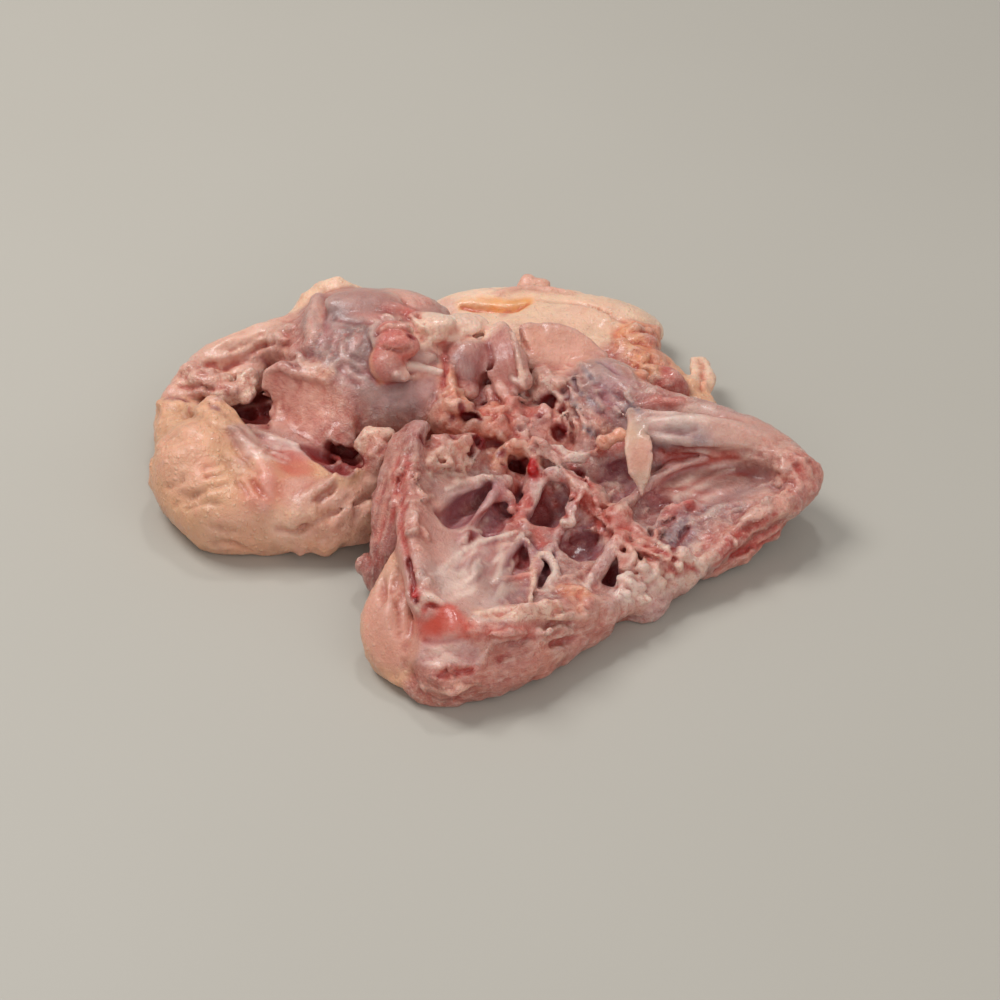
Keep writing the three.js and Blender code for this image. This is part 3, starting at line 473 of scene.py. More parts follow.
def right_ribs(clay):
    clay.add(Sheet(NEAR_EDGE, WING_FLOOR), MEDIUM, "film")
    clay.add(Sheet(WING_FLOOR, WING_BACK), MEDIUM, "grey film")
    clay.add(Sheet(WING_BACK, FAR_WALL), MEDIUM, "film")
    clay.add(Strand([[32, 29, 21, 8], [47, 19, 20, 8], [61, 13, 19, 7.5], [75, 8, 18, 7], [85, 0, 16.5, 6.5],
                     [90, -6, 15, 5.5]]), SOFT, "pink meat")
    clay.add(Band([[43, 4, 26, 5, 3], [58, -1, 27, 6, 3.5], [73, -2, 24.5, 5.5, 3.2], [83, -6, 22, 4, 2.8]],
                  (0, -0.6, 0.8)), MEDIUM, "film")
    clay.add(Strand([[46, 2, 18, 4.5], [60, 1, 19, 5], [73, 0, 18.5, 4.5], [82, -4, 18, 3.5]]), MEDIUM, "film")
    clay.add(Lump([90, -10, 15.5], [7, 7, 7.5]), MEDIUM, "pink meat")
    clay.add(Strand([[86, -8, 21.5, 3], [91, -9, 20, 3.3], [93.5, -11, 17, 3.5], [92, -14, 13.5, 3.5],
                     [88, -19, 12, 3], [78, -24, 10, 3]]), MEDIUM, "pink meat")
    clay.add(Strand([[59, -43, 9, 2.5], [67, -37, 12, 2.5], [75, -30, 15, 3], [85, -24, 17, 3]]), 2, "pink meat")
    clay.along((0.75, 0.6, 0.2))
    clay.add(Strand([[61, -39, 3.5, 2.5], [70, -34, 5, 3], [81, -25, 8, 3.5]]), MEDIUM, "meat")
    clay.along((0, 0, 0))
    clay.cut(Lump([37, -8, 15], [7, 9, 3.2], -20), 2.5, "window")
    clay.cut(Lump([47, -21, 13], [5, 7, 2.6], -20), 2, "window")
    clay.add(Strand([[63, -1, 19, 1.4], [52, -6, 16.8, 1.6], [44, -13, 15.3, 1.6], [37, -21, 14.3, 1.8],
                     [32, -28, 14, 1.8]]), 2, "bone")
    clay.add(Strand([[61, -21, 13, 1.2], [57, -21, 13.5, 1.6], [52, -29, 12, 1.6], [49, -37, 11, 1.4]]), CRISP,
             "bone")
    clay.add(Strand([[58, -20, 14, 1.4], [53, -22, 14, 1.6], [49, -24, 13, 1.4], [46, -31, 12, 1.2]]), CRISP,
             "red meat")
    clay.add(Strand([[69, -24, 13, 1.2], [63, -31, 13, 1.5], [58, -38, 12, 1.5]]), CRISP, "film")
    clay.add(Strand([[78, -22, 15, 1.2], [69, -22, 14, 1.5], [61, -26, 13, 1.3]]), 2, "film")
    clay.add(Sheet([[60, -22, 12.5, 1.3], [55, -29, 12, 1.3], [50, -37, 10.5, 1.2]],
                   [[70, -23, 12.5, 1.3], [64, -30, 12, 1.3], [58, -38, 11, 1.2]]), 2, "leaden film")


# Backbone knobs: x, y, height, half size; and dark pits beside it: x, y, height, half sizes
KNOBS = [[28, -18, 15, 5], [35, -29, 14, 5.5], [40, -35, 12, 5], [44, -41, 12, 5.5], [51, -43, 11, 5],
         [38, -49, 13, 4], [43, -51, 12, 4.2], [46, -47, 13, 3.6], [40, -54, 9, 3.5], [44, -56, 7, 3.4]]
PITS = [[14, -22, 13, 6.5, 8.5, 5.5], [24, -37, 11.5, 6.5, 8.5, 5], [34.5, -50, 10, 4.5, 6, 4]]
PIT_TURN = -35


def backbone(clay):
    for x, y, z, a, b, c in PITS:
        clay.cut(Lump([x, y, z], [a, b, c], PIT_TURN), 2.5)
        clay.paint(Lump([x, y, z - 2], [a, b, c - 1], PIT_TURN), "window", 2.5, 0.9)
    clay.add(Strand([[11, -11, 17, 3.2], [9, -19, 15, 2.6], [7, -25, 13, 2]]), 2, "bone")
    clay.add(Strand([[16, -13, 19.5, 2.2], [21, -13, 18, 2.5], [24, -18, 17, 2.8]]), CRISP, "bone")
    for i, (x, y, z, r) in enumerate(KNOBS):
        clay.add(Lump([x, y, z], [0.9 * r, 0.9 * r, 0.85 * r]), 2, "marrow" if i < 2 else "bone")
    clay.add(Strand([[46, -43, 14, 2.2], [50, -43, 14, 2.2], [55, -44, 12, 1.8]]), CRISP, "white")
    clay.add(Strand([[45, -51, 6, 3], [53, -46, 6, 2.8], [59, -40, 6, 2]]), 2, "meat")
    clay.add(Strand([[25, -14, 17.5, 2.2], [22, -22, 17, 1.7], [21, -27, 15, 2.4], [18, -32, 13, 1.5],
                     [14, -38, 12, 1.2]]), CRISP, "bone")
    clay.add(Strand([[36, -37, 15, 2.1], [33, -43, 14.5, 2.1], [30, -48, 13, 1.9], [25, -56, 11, 1.3]]), CRISP,
             "bone")
    clay.add(Strand([[26, -57, 11, 1.8], [21, -59, 13, 2], [16, -61, 14, 1.8]]), CRISP, "orange fat")


def cut_bone(clay):
    clay.add(Lump([2, 13, 17], [13, 9, 7]), MEDIUM, "marrow")
    clay.add(Lump([-9, 10, 19], [9, 7, 6]), MEDIUM, "marrow")
    clay.add(Lump([14, 14, 17], [9, 8, 6]), MEDIUM, "pink meat")
    clay.add(Strand([[-1, -8, 18, 2.4], [1, -4, 20, 2.4], [6, -2, 21, 2.2], [10, -4, 20, 2], [10, -8, 19, 2]]),
             CRISP, "orange fat")
    # The bone's hollow is painted dark red, partly painted shade.
    clay.cut(Strand([[6, -6, 22, 2.7], [5, -4, 15, 2.8], [5, 2, 12, 2.2]]), 1, "cavity")
    clay.add(Strand([[10, 0, 22, 1.6], [15, -4, 22, 2.3], [21, -5, 21, 2.2], [25, -5, 20, 1.8]]), CRISP, "white")
    clay.add(Strand([[0, 27, 25, 2.2], [3, 20, 24, 2.2], [5, 14, 23, 1.8]]), CRISP, "bone")


def hip_meat(clay):
    clay.add(Lump([0, 34, 9], [34, 34, 12]), SOFT, "meat")
    clay.add(Lump([33, 30, 21], [14, 11, 9], -15), SOFT, "film")
    clay.add(Lump([28, 20, 20], [10, 7, 7], -15), MEDIUM, "film")
    clay.add(Lump([16, 31, 21], [8, 7, 6.5]), MEDIUM, "pink fat")
    clay.add(Lump([19, 25, 19], [7, 5, 5]), MEDIUM, "pink fat")
    clay.along((1, -0.2, 0))
    clay.add(Band([[9, 44, 28, 8, 2.5], [17, 45, 27, 9, 2.5], [26, 43, 25, 7, 2.5], [32, 41, 24, 4, 2]],
                  (0, -0.35, 0.9)), MEDIUM, "pink meat")
    clay.add(Lump([19, 47, 20], [15, 8, 6], -20), MEDIUM, "pink meat")
    clay.along((0.1, -0.8, -0.4))
    clay.add(Band([[-1, 46, 33, 4, 2], [0, 37, 33, 6, 2.2], [2, 29, 30.5, 7, 2.2], [5, 24, 26, 6, 2]],
                  (-0.15, -0.75, 0.6)), 2, "meat")
    clay.add(Lump([-9.5, 36, 26.5], [8.5, 8, 8.5]), 2, "brown meat")
    clay.add(Lump([-13, 30, 25], [7, 6, 7]), 2, "brown meat")
    clay.along((0, 0, 0))
    clay.add(Strand([[-17, 27, 30, 2.5], [-16, 20, 28, 3], [-13, 15, 26, 3], [-10, 11, 25, 2]]), CRISP, "orange fat")
    clay.add(Lump([-16, 12, 23], [6, 7, 6]), 2, "meat")


def thigh(clay):
    clay.along((-0.6, 0.7, 0.2))
    clay.add(Lump([-40, 42, 16], [31, 31, 25]), SOFT, "thigh")
    clay.add(Lump([-47, 52, 19], [21, 20, 20], -10), SOFT, "thigh")
    clay.add(Lump([-34, 56, 20], [22, 16, 19], -14), SOFT, "thigh")
    clay.add(Lump([-50, 59, 18], [18, 16, 18.5]), SOFT, "thigh")
    clay.add(Lump([-28, 23, 19], [13, 12, 12]), SOFT, "thigh")
    clay.add(Lump([-39, 23, 22], [12, 12, 11]), SOFT, "thigh")
    clay.along((0, 0, 0))
    clay.add(Strand([[-47, 70, 33, 2], [-53, 70, 34.5, 3.2], [-58, 70, 32, 4], [-63, 67, 28, 4], [-66, 62, 23, 4],
                     [-66, 55, 19, 4]]), MEDIUM, "tail skin")
    clay.along((0.9, -0.1, -0.4))
    clay.add(Sheet([[-73, 28, 28, 2.2], [-68, 28, 30, 2.5], [-59, 26, 31, 3], [-48, 24, 32, 3]],
                   [[-74, 19, 13, 2.2], [-68, 16, 14, 2.5], [-61, 11, 16, 3], [-48, 6, 18, 4]]), MEDIUM, "meat")
    clay.add(Lump([-68, 51, 22], [9, 7, 8]), MEDIUM, "meat")
    clay.along((0, 0, 0))
    clay.add(Strand([[-59, 12, 14, 3], [-56, 9, 12, 3], [-52, 8, 10, 2.5]]), 2, "brown meat")
    clay.add(Lump([-33, 33, 40], [6, 4, 4], -8), CRISP, "red meat")
    clay.add(Lump([-32, 27, 40], [7, 4.5, 4.5], -8), CRISP, "red meat")
    clay.add(Lump([-35, 22, 36.5], [5.5, 7, 5]), 2, "red meat")
    clay.add(Lump([-22, 43, 36], [8, 6, 4.5]), 2, "fat")
    clay.add(Lump([-13, 47, 33], [10, 5, 4.5], 15), 2, "fat")


def left_skin(clay):
    clay.add(Lump([-91, -1, 11], [17, 19, 17]), SOFT, "skin")
    clay.add(Lump([-80, -14, 9], [20, 17, 15]), SOFT, "skin")
    clay.add(Lump([-62, -16, 9], [22, 15, 13], -5), SOFT, "skin")
    clay.add(Lump([-46, -13, 9], [14, 14, 11], 25), SOFT, "pink skin")
    clay.add(Lump([-101, 20, 9], [9, 14, 10]), SOFT, "skin")
    clay.add(Lump([-72, 9, 11], [20, 13, 8], -12), SOFT, "film")
    clay.add(Lump([-62, -3, 12], [14, 9, 8], -12), SOFT, "pink meat")
    clay.add(Strand([[-89, 16, 24, 4], [-82, 6, 22, 4], [-72, -11, 20, 3], [-72, -23, 18, 3]]), SOFT, "skin")
    clay.add(Strand([[-65, -27, 6, 3], [-60, -26, 15, 3], [-52, -21, 20, 3], [-45, -16, 22, 3], [-39, -9, 22, 3]]),
             2, "skin")
    clay.add(Strand([[-60, -28, 5, 3], [-55, -25, 12, 3], [-47, -20, 17, 3], [-39, -16, 19, 3]]), 2, "pink skin")
    clay.add(Strand([[-53, -28, 5, 4], [-47, -24, 9, 4.5], [-40, -21, 11, 4.5]]), 2, "skin")
    clay.add(Lump([-62, 30, 4], [30, 34, 6]), SOFT, "brown meat")
    clay.add(Lump([-36, 2, 5], [20, 24, 8]), SOFT, "brown meat")
    clay.add(Strand([[-66, 61, 22, 6.5], [-74, 57, 22, 6.5], [-85, 53, 20, 6], [-94, 49, 18, 6], [-99, 41, 16, 5.5],
                     [-104, 34, 15, 4]]), MEDIUM, "pink skin")
    clay.add(Strand([[-67, 72, 10, 9], [-86, 59, 8, 9], [-100, 45, 7, 9], [-101, 32, 8, 9]]), SOFT, "skin")
    clay.add(Lump([-81, 47, 15], [6, 8, 6]), MEDIUM, "pink fat")
    clay.add(Lump([-91, 37, 18], [7, 6, 5]), 2, "fat")
    clay.add(Lump([-96, 36, 17], [5, 5, 4]), 2, "fat")
    clay.add(Strand([[-91, 28, 17, 2.5], [-85, 30, 19, 2.6], [-80, 30, 19, 2.4]]), CRISP, "fat")
    clay.add(Strand([[-82, 33, 20, 2.2], [-79, 36, 22, 2.4]]), CRISP, "fat")


def tail_skin(clay):
    clay.add(Lump([16, 86, 8], [40, 16, 10], -6), SOFT, "tail skin")
    clay.add(Lump([-3, 93, 8], [22, 8, 8]), SOFT, "tail skin")
    clay.add(Lump([34, 78, 10], [18, 14, 10], -15), SOFT, "tail skin")
    clay.add(Lump([8, 66, 9], [38, 22, 11]), SOFT, "tail skin")
    clay.add(Lump([40, 50, 8], [18, 20, 10]), SOFT, "meat")
    clay.add(Strand([[0, 94, 13, 2.6], [7, 98, 12.5, 2.6], [16, 99, 12, 2.4], [25, 97, 12, 2.2]]), 2, "tail skin")
    clay.add(Lump([11, 104, 12.5], [5.5, 3, 2.6]), 2, "pink skin")
    clay.add(Lump([9.5, 106, 14], [2.4, 2, 2]), 2, "pink skin")
    clay.add(Lump([15, 104, 13.4], [2.4, 2, 1.4]), 2, "pink skin")
    clay.add(Sheet([[41, 72, 17, 2], [47, 72, 17, 2], [52, 73, 15, 2]],
                   [[39, 57, 14, 2], [46, 57, 13, 2], [51, 67, 11, 2]]), 2, "orange fat")
    clay.add(Lump([46, 54, 14], [10, 6, 6], -20), MEDIUM, "orange fat")
    clay.add(Lump([52, 40, 16], [9, 6, 6], -25), MEDIUM, "red meat")
    clay.add(Strand([[51, 56, 10, 5], [62, 43, 9, 5], [67, 34, 10, 3.5]]), SOFT, "skin")
    clay.add(Band([[63, 41, 11, 4, 2], [66, 48, 11, 4, 1.8], [66.5, 55, 10.5, 3.8, 1.6], [66, 62, 10, 3, 1.5]],
                  (0, -0.7, 0.7)), CRISP, "tail skin")


def near_corner(clay):
    clay.along((-0.2, -0.9, -0.5))
    clay.add(Band([[-26, -7, 32, 5, 3], [-28, -15, 31, 6.5, 3.2], [-31, -28, 26, 7, 3.2], [-33, -39, 19, 6.5, 3.2],
                   [-35, -45, 12, 5, 3], [-37, -47, 5, 4, 3]], CORNER_FACE), 2, "brown meat")
    clay.along((0, 0, 0))
    clay.add(Lump([-39, -42, 8], [3.5, 3.5, 4]), CRISP, "meat")
    clay.add(Strand([[-42, -8, 26, 2.6], [-39, -7, 29, 3], [-35, -6, 30, 2.6]]), CRISP, "fat")
    clay.add(Lump([-37, -11, 24], [5, 5, 6]), 2, "meat")
    clay.add(Band([[-28, -53, 19, 4, 4], [-30, -61, 15, 7, 5], [-32, -72, 11, 8.5, 6], [-29, -80, 7, 8, 5.5],
                   [-23, -85, 5, 6, 4]], CORNER_FACE), 2, "skin")
    clay.add(Lump([-15, -78, 17], [9, 8, 6.5]), MEDIUM, "red meat")
    clay.add(Lump([-15, -83, 11.5], [10.5, 7.5, 7]), MEDIUM, "pink meat")
    clay.add(Lump([-15, -89, 3.5], [11, 6, 5]), 2, "meat")


def film_leaf(clay):
    clay.add(Band([[41, 9, 28, 2, 1.1], [42, 1, 27.5, 3.4, 1], [42, -7, 26, 4.3, 0.9], [42.5, -13, 22, 3.4, 0.9],
                   [43, -19, 17, 0.8, 0.8]], (-0.1, -0.6, 0.8)), 1, "leaf film")
    clay.add(Strand([[39, -1, 25, 1.2], [36, 0, 24.5, 1.4], [33, -1, 22.5, 1.2]]), 1, "orange fat")


MAIN_FORMS = [back_meat, left_ribs, right_ribs, backbone, cut_bone, hip_meat, thigh, left_skin, tail_skin,
              near_corner, film_leaf]


# Small forms, placed on the surface by the photograph's columns and rows

def scraps(clay, column, row, reach, count, sizes, tissues, seed):
    """Torn bits of tissue scattered round a pixel; reach is in pixels across and down."""
    random = np.random.RandomState(seed)
    for _ in range(count):
        c, r = column + reach[0] * random.uniform(-1, 1), row + reach[1] * random.uniform(-1, 1)
        turn, length = random.uniform(0, math.pi), random.uniform(2, 9)
        dc, dr = length * math.cos(turn), 0.7 * length * math.sin(turn)
        size = random.uniform(*sizes)
        bend = random.uniform(-3, 3)
        points = [(c - dc, r - dr, 0.5 * size), (c + bend, r + bend, size), (c + dc, r + dr, 0.6 * size)]
        tissue = tissues[random.randint(len(tissues))]
        clay.ridge(points, tissue, 0.9, random.uniform(-0.5, 0.3) * size)


def lines(start, end, spread, count, size, seed):
    """Uneven lines of pixels with a radius that run roughly from one pixel to another."""
    random = np.random.RandomState(seed)
    start, end = np.array(start, float), np.array(end, float)
    run = end - start
    side = np.array([-run[1], run[0]]) / np.hypot(*run)
    found = []
    for _ in range(count):
        first = random.uniform(0, 0.6)
        last = first + random.uniform(0.2, 0.4)
        off = random.uniform(-spread, spread)
        drift, sag = random.uniform(-0.25, 0.25) * spread, random.uniform(-0.12, 0.12) * spread
        wide = size * random.uniform(0.6, 1.3)
        line = []
        for t, shift, share in ((first, off, 0.5), ((first + last) / 2, off + sag + drift / 2, 1),
                                (last, off + drift, 0.4)):
            at = start + t * run + shift * side
            line.append((at[0], at[1], wide * share))
        found.append(line)
    return found


def wrinkles(clay, start, end, spread, count, size, seed, blend=1.4, tissue=None):
    for line in lines(start, end, spread, count, size, seed):
        clay.groove(line, blend, tissue)


def folds(clay, start, end, spread, count, size, seed, tissue, lift=0.1):
    for line in lines(start, end, spread, count, size, seed):
        clay.ridge(line, tissue, 1.2, lift)


def streaks(clay, start, end, spread, count, size, seed, tissue, strength=0.5):
    for line in lines(start, end, spread, count, size, seed):
        clay.tint(line, tissue, 1.2, strength)


def holes(clay, spots):
    # Each hole is cut and painted dark red, partly painted shade.
    for column, row, wide, deep in spots:
        clay.pit(column, row, [wide, 0.8 * wide, deep], 0, SHARP, "cavity")


def thigh_details(clay):
    clay.ridge([(318, 300, 2.2), (313, 322, 2.4), (317, 345, 2)], "thigh", 2.5, -1.2)
    clay.knob(362, 303, [12, 6, 3], "thigh", 0, 2.5, -1.8)
    clay.groove([(327, 296, 0.4), (324, 318, 0.6), (330, 342, 0.4)], 2.4)
    clay.groove([(332, 318, 0.3), (352, 322, 0.4), (378, 322, 0.3)], 2.4)
    clay.groove([(404, 300, 0.5), (412, 308, 0.6), (420, 318, 0.5)], 1.6)
    wrinkles(clay, (340, 356), (400, 400), 16, 4, 0.3, 111, 2)
    clay.tint([(316, 300, 3), (312, 325, 3), (316, 345, 3)], "film", 5, 0.4)
    clay.tint([(328, 318, 3), (338, 332, 4)], "grey film", 5, 0.95)
    clay.tint([(350, 332, 4), (362, 346, 4)], "grey film", 5, 0.95)
    clay.tint([(308, 346, 2), (322, 352, 3)], "grey film", 4, 0.8)
    clay.tint([(340, 362, 3), (352, 370, 4), (364, 378, 3)], "grey film", 5, 0.9)
    clay.tint([(392, 405, 5), (410, 402, 6), (428, 412, 4)], "grey film", 4, 0.6)
    clay.tint([(400, 396, 3), (420, 400, 3)], "leaden film", 4, 0.3)
    clay.tint([(340, 300, 3), (365, 300, 3), (385, 308, 3)], "grey film", 4, 0.35)
    clay.tint([(400, 292, 3), (425, 298, 3), (447, 308, 3)], "pink fat", 4, 0.7)
    streaks(clay, (333, 356), (352, 312), 18, 16, 0.35, 112, "bone", 0.5)
    streaks(clay, (316, 354), (318, 292), 7, 12, 0.35, 113, "pink fat", 0.4)
    streaks(clay, (336, 358), (372, 400), 16, 14, 0.35, 114, "bone", 0.5)
    streaks(clay, (440, 378), (388, 425), 20, 18, 0.35, 115, "bone", 0.5)
    clay.tint([(296, 362, 1), (312, 370, 1.2), (330, 372, 0.8)], "fat", 2, 0.5)
    clay.groove([(383, 348, 0.3), (397, 351, 0.4), (410, 348, 0.3)], 1.4, "meat")
    clay.ridge([(377, 323, 0.9), (372, 333, 1.1), (375, 345, 0.8)], "white", 1, 0)
    clay.ridge([(383, 330, 0.8), (396, 327, 1), (412, 331, 0.8)], "pink meat", 1, 0)
    clay.tint([(373, 352, 0.8), (372, 366, 1), (380, 380, 0.8)], "orange fat", 1.5, 0.6)
    clay.tint([(388, 358, 2), (394, 370, 2)], "thigh", 3, 0.5)
    clay.knob(402, 314, [5, 3, 2], "red meat", 10, 1.2, -0.6)
    clay.knob(392, 308, [4, 2.4, 1.6], "red meat", -10, 1.2, -0.5)
    clay.knob(422, 358, [5, 2.2, 1.5], "film", 10, 1.4, -0.4)
    clay.knob(400, 375, [3, 2.6, 2], "pink fat", 0, 1.4, 0)
    clay.ridge([(396, 374, 1.3), (407, 367, 1.4), (421, 368, 1.3), (441, 371, 1)], "white", 1, 0.7)
    clay.ridge([(404, 379, 0.8), (418, 377, 0.9), (432, 377, 0.7)], "pink meat", 1.4, -0.2)
    holes(clay, [(411, 337, 1.1, 1.4), (472, 388, 1.9, 2.6)])
    for c, r, w in ((428, 327, 3.4), (442, 322, 3.8), (458, 323, 3.8), (470, 328, 3.4), (436, 336, 3), (452, 336, 3.6)):
        clay.knob(c, r, [w, 0.8 * w, 0.4 * w], "fat", 0, 2.4, -0.4)
    clay.groove([(489, 345, 0.7), (491, 362, 1), (487, 384, 0.9)], SHARP, "brown meat")
    clay.knob(464, 390, [4.5, 3.5, 3], "pink meat", 0, 2, -0.6)
    clay.groove([(444, 350, 0.5), (446, 366, 0.6), (443, 384, 0.5)], 1.4, "red meat")
    clay.ridge([(513, 335, 0.8), (517, 352, 0.8), (521, 372, 0.8), (522, 386, 0.6)], "fat", 1, 0.2)
    clay.ridge([(462, 405, 1.3), (472, 403, 1.4), (483, 409, 1.3)], "orange fat", SHARP, 0.2)
    clay.ridge([(463, 411, 1.1), (473, 413, 1.2), (480, 419, 1)], "pink fat", SHARP, 0.1)
    clay.ridge([(448, 378, 1.1), (452, 392, 1.3), (459, 402, 1)], "orange fat", 1, 0)
    scraps(clay, 455, 400, (16, 10), 14, (0.7, 1.3), ("orange fat", "pink meat", "red meat", "pink fat"), 11)
    scraps(clay, 400, 322, (24, 12), 8, (0.5, 1), ("red meat", "white", "pink meat"), 13)
    clay.tint([(422, 330, 4), (445, 326, 5), (470, 326, 4), (482, 330, 2)], "fat", 4, 1)
    clay.tint([(440, 346, 2), (465, 344, 2)], "pink fat", 3, 0.6)
    clay.tint([(460, 350, 4), (470, 368, 5), (476, 384, 3)], "brown meat", 3, 0.6)
    clay.tint([(458, 360, 1), (468, 372, 1.4)], "grey film", 3, 0.5)
    clay.tint([(498, 340, 3), (508, 360, 4)], "brown meat", 4, 0.35)


def sheet_details(clay):
    """Meat that hangs from the thigh over the hollow on its left."""
    clay.groove([(286, 363, 0.6), (295, 368, 0.9), (305, 374, 0.6)], SHARP, "brown meat")
    clay.ridge([(266, 372, 1.2), (280, 366, 1.4), (292, 372, 1.2), (312, 376, 1.2), (328, 382, 1)], "pink meat",
               1.4, -0.2)
    # Painted shade, dark red, in the grooves and hollow under the hanging meat.
    clay.groove([(265, 394, 1.6), (262, 404, 3), (252, 413, 3.2), (240, 414, 2.4)], SHARP, "cavity", -1.5)
    clay.groove([(264, 408, 2.4), (262, 420, 2.6), (250, 420, 2)], SHARP, "cavity", -1)
    clay.tint([(262, 398, 1.4), (262, 415, 2), (264, 426, 1)], "cavity", 2, 0.9)
    clay.groove([(303, 446, 1.2), (318, 452, 2.6), (334, 456, 3.4), (348, 459, 3.4), (358, 462, 2)], SHARP, "cavity")
    clay.groove([(304, 448, 1.4), (318, 457, 2.4), (332, 464, 2.8), (346, 468, 2.4)], SHARP, "cavity", -1)
    clay.groove([(330, 446, 1.6), (342, 450, 2.4), (352, 454, 2)], SHARP, "cavity", -1)
    clay.ridge([(322, 452, 1), (334, 456, 1.2), (345, 466, 0.8)], "brown meat", 1, 0.2)
    clay.tint([(275, 385, 4), (300, 390, 4), (285, 412, 4), (310, 420, 4)], "pink meat", 6, 0.55)
    clay.tint([(322, 398, 2), (330, 408, 3)], "pink fat", 4, 0.6)
    clay.tint([(300, 430, 2), (325, 436, 2)], "meat", 4, 0.4)
    clay.tint([(283, 348, 4), (300, 350, 4)], "pink meat", 4, 0.6)
    wrinkles(clay, (276, 380), (268, 430), 12, 4, 0.35, 120, 2)
    streaks(clay, (285, 372), (325, 436), 34, 18, 0.35, 122, "pink fat", 0.35)
    scraps(clay, 290, 350, (18, 10), 6, (0.6, 1.1), ("meat", "pink meat", "film"), 22)


def left_rib_details(clay):
    clay.groove([(447, 524, 1.4), (458, 511, 2.4), (472, 503, 3), (486, 496, 2.2), (494, 491, 1.2)], 1.2, "window", 0.6)
    # Painted shade, dark red, in the deep bay beside the rib.
    clay.groove([(466, 543, 0.9), (476, 528, 1.5), (488, 516, 1.9), (498, 503, 1.3)], 1, "cavity", 0.3)
    clay.ridge([(498, 489, 1.1), (487, 505, 1.1), (476, 521, 1), (464, 540, 0.8)], "bone", 1, 0.5)
    clay.tint([(450, 522, 1.4), (464, 508, 2.6), (478, 500, 2.6), (492, 492, 1)], "window", 2, 1)
    clay.tint([(466, 512, 0.8), (478, 505, 1)], "film", 2, 0.45)
    clay.tint([(470, 538, 1), (480, 524, 1.4), (494, 508, 1.4)], "window", 1.6, 0.9)
    clay.ridge([(447, 490, 0.9), (466, 480, 1.1), (485, 478, 1.1), (502, 486, 1)], "white", 1, 0.3)
    clay.ridge([(440, 528, 0.6), (448, 508, 0.8), (462, 495, 0.8)], "white", 0.9, 0.2)
    clay.knob(504, 493, [2.6, 1.9, 1.6], "fat", 0, 1, 0.5)
    clay.ridge([(511, 497, 1.3), (516, 510, 1.4), (511, 529, 1)], "red meat", 1, 0.3)
    clay.ridge([(470, 546, 0.6), (497, 538, 0.8), (523, 531, 0.8)], "white", 0.8, 0.3)
    clay.tint([(500, 548, 2), (470, 560, 3)], "pink fat", 3, 0.5)
    clay.ridge([(524, 534, 0.8), (517, 553, 0.9), (505, 580, 0.8), (494, 600, 0.6)], "white", 0.8, 0.3)
    folds(clay, (516, 540), (450, 600), 32, 12, 0.55, 130, "film", 0.2)
    folds(clay, (500, 470), (432, 500), 26, 10, 0.6, 131, "film", 0)
    streaks(clay, (515, 545), (440, 610), 40, 30, 0.5, 132, "white", 0.6)
    streaks(clay, (520, 548), (470, 610), 36, 12, 0.4, 134, "window", 0.5)
    clay.tint([(440, 560, 5), (452, 585, 6), (480, 600, 4)], "white", 6, 0.25)
    clay.tint([(430, 500, 4), (432, 550, 4)], "pink meat", 5, 0.5)
    clay.tint([(440, 470, 4), (452, 462, 4)], "fat", 5, 0.5)
    clay.tint([(436, 490, 3), (448, 478, 3)], "grey film", 5, 0.35)
    clay.tint([(490, 575, 4), (505, 600, 3)], "grey film", 4, 0.5)
    # Painted shade, dark red, in the small bay between the ridges.
    clay.tint([(519, 561, 2.2), (523, 553, 1.6)], "cavity", 1.8, 0.9)
    clay.ridge([(504, 579, 0.7), (518, 576, 0.8), (531, 574, 0.7)], "salmon", 0.8, 0.4)
    clay.ridge([(527, 539, 0.9), (534, 558, 0.9), (534, 584, 0.8), (526, 610, 0.6)], "fat", 0.8, 0.5)
    clay.ridge([(529, 543, 0.8), (546, 552, 0.8), (555, 565, 0.8), (555, 580, 0.8), (549, 593, 0.7)], "fat", 0.8, 0.5)
    clay.tint([(541, 566, 1.6), (542, 582, 1.6)], "window", 1.6, 0.9)
    clay.ridge([(531, 590, 0.5), (541, 591, 0.5), (551, 590, 0.5)], "white", 0.7, 0.4)
    clay.knob(572, 590, [5, 2.4, 1.8], "orange fat", -10, 1, 0)
    clay.tint([(565, 588, 1.6), (585, 592, 1.6)], "orange fat", 2.5, 0.8)
    clay.knob(542, 629, [3.6, 2, 1.6], "white", 0, 1.2, -0.2)
    folds(clay, (475, 618), (600, 606), 8, 8, 1, 135, "pink fat", 0)
    folds(clay, (460, 640), (560, 622), 8, 7, 1, 136, "pink meat", 0)
    wrinkles(clay, (468, 628), (600, 612), 14, 12, 0.5, 137, 1)
    wrinkles(clay, (480, 660), (580, 628), 18, 12, 0.5, 138, 1.2)
    clay.tint([(545, 645, 3), (566, 638, 3)], "pink meat", 4, 0.6)
    clay.tint([(470, 645, 3), (500, 655, 3)], "pink meat", 5, 0.6)
    clay.tint([(482, 613, 1.5), (520, 613, 1.5), (555, 612, 1.5)], "fat", 2.6, 0.8)
    clay.tint([(478, 630, 1.4), (505, 634, 1.4), (530, 630, 1.2)], "salmon", 3, 0.6)
    wrinkles(clay, (404, 470), (430, 474), 8, 4, 0.5, 139, 1)
    scraps(clay, 418, 530, (8, 70), 26, (0.6, 1.2), ("meat", "pink meat", "pink fat", "film"), 34)
    scraps(clay, 447, 462, (26, 9), 20, (0.6, 1.2), ("pink meat", "pink fat", "fat", "red meat"), 31)
    scraps(clay, 518, 508, (10, 22), 20, (0.4, 0.9), ("orange fat", "salmon", "red meat", "pink fat"), 33)
    scraps(clay, 548, 602, (44, 6), 12, (0.5, 0.9), ("pink fat", "orange fat", "red meat"), 32)


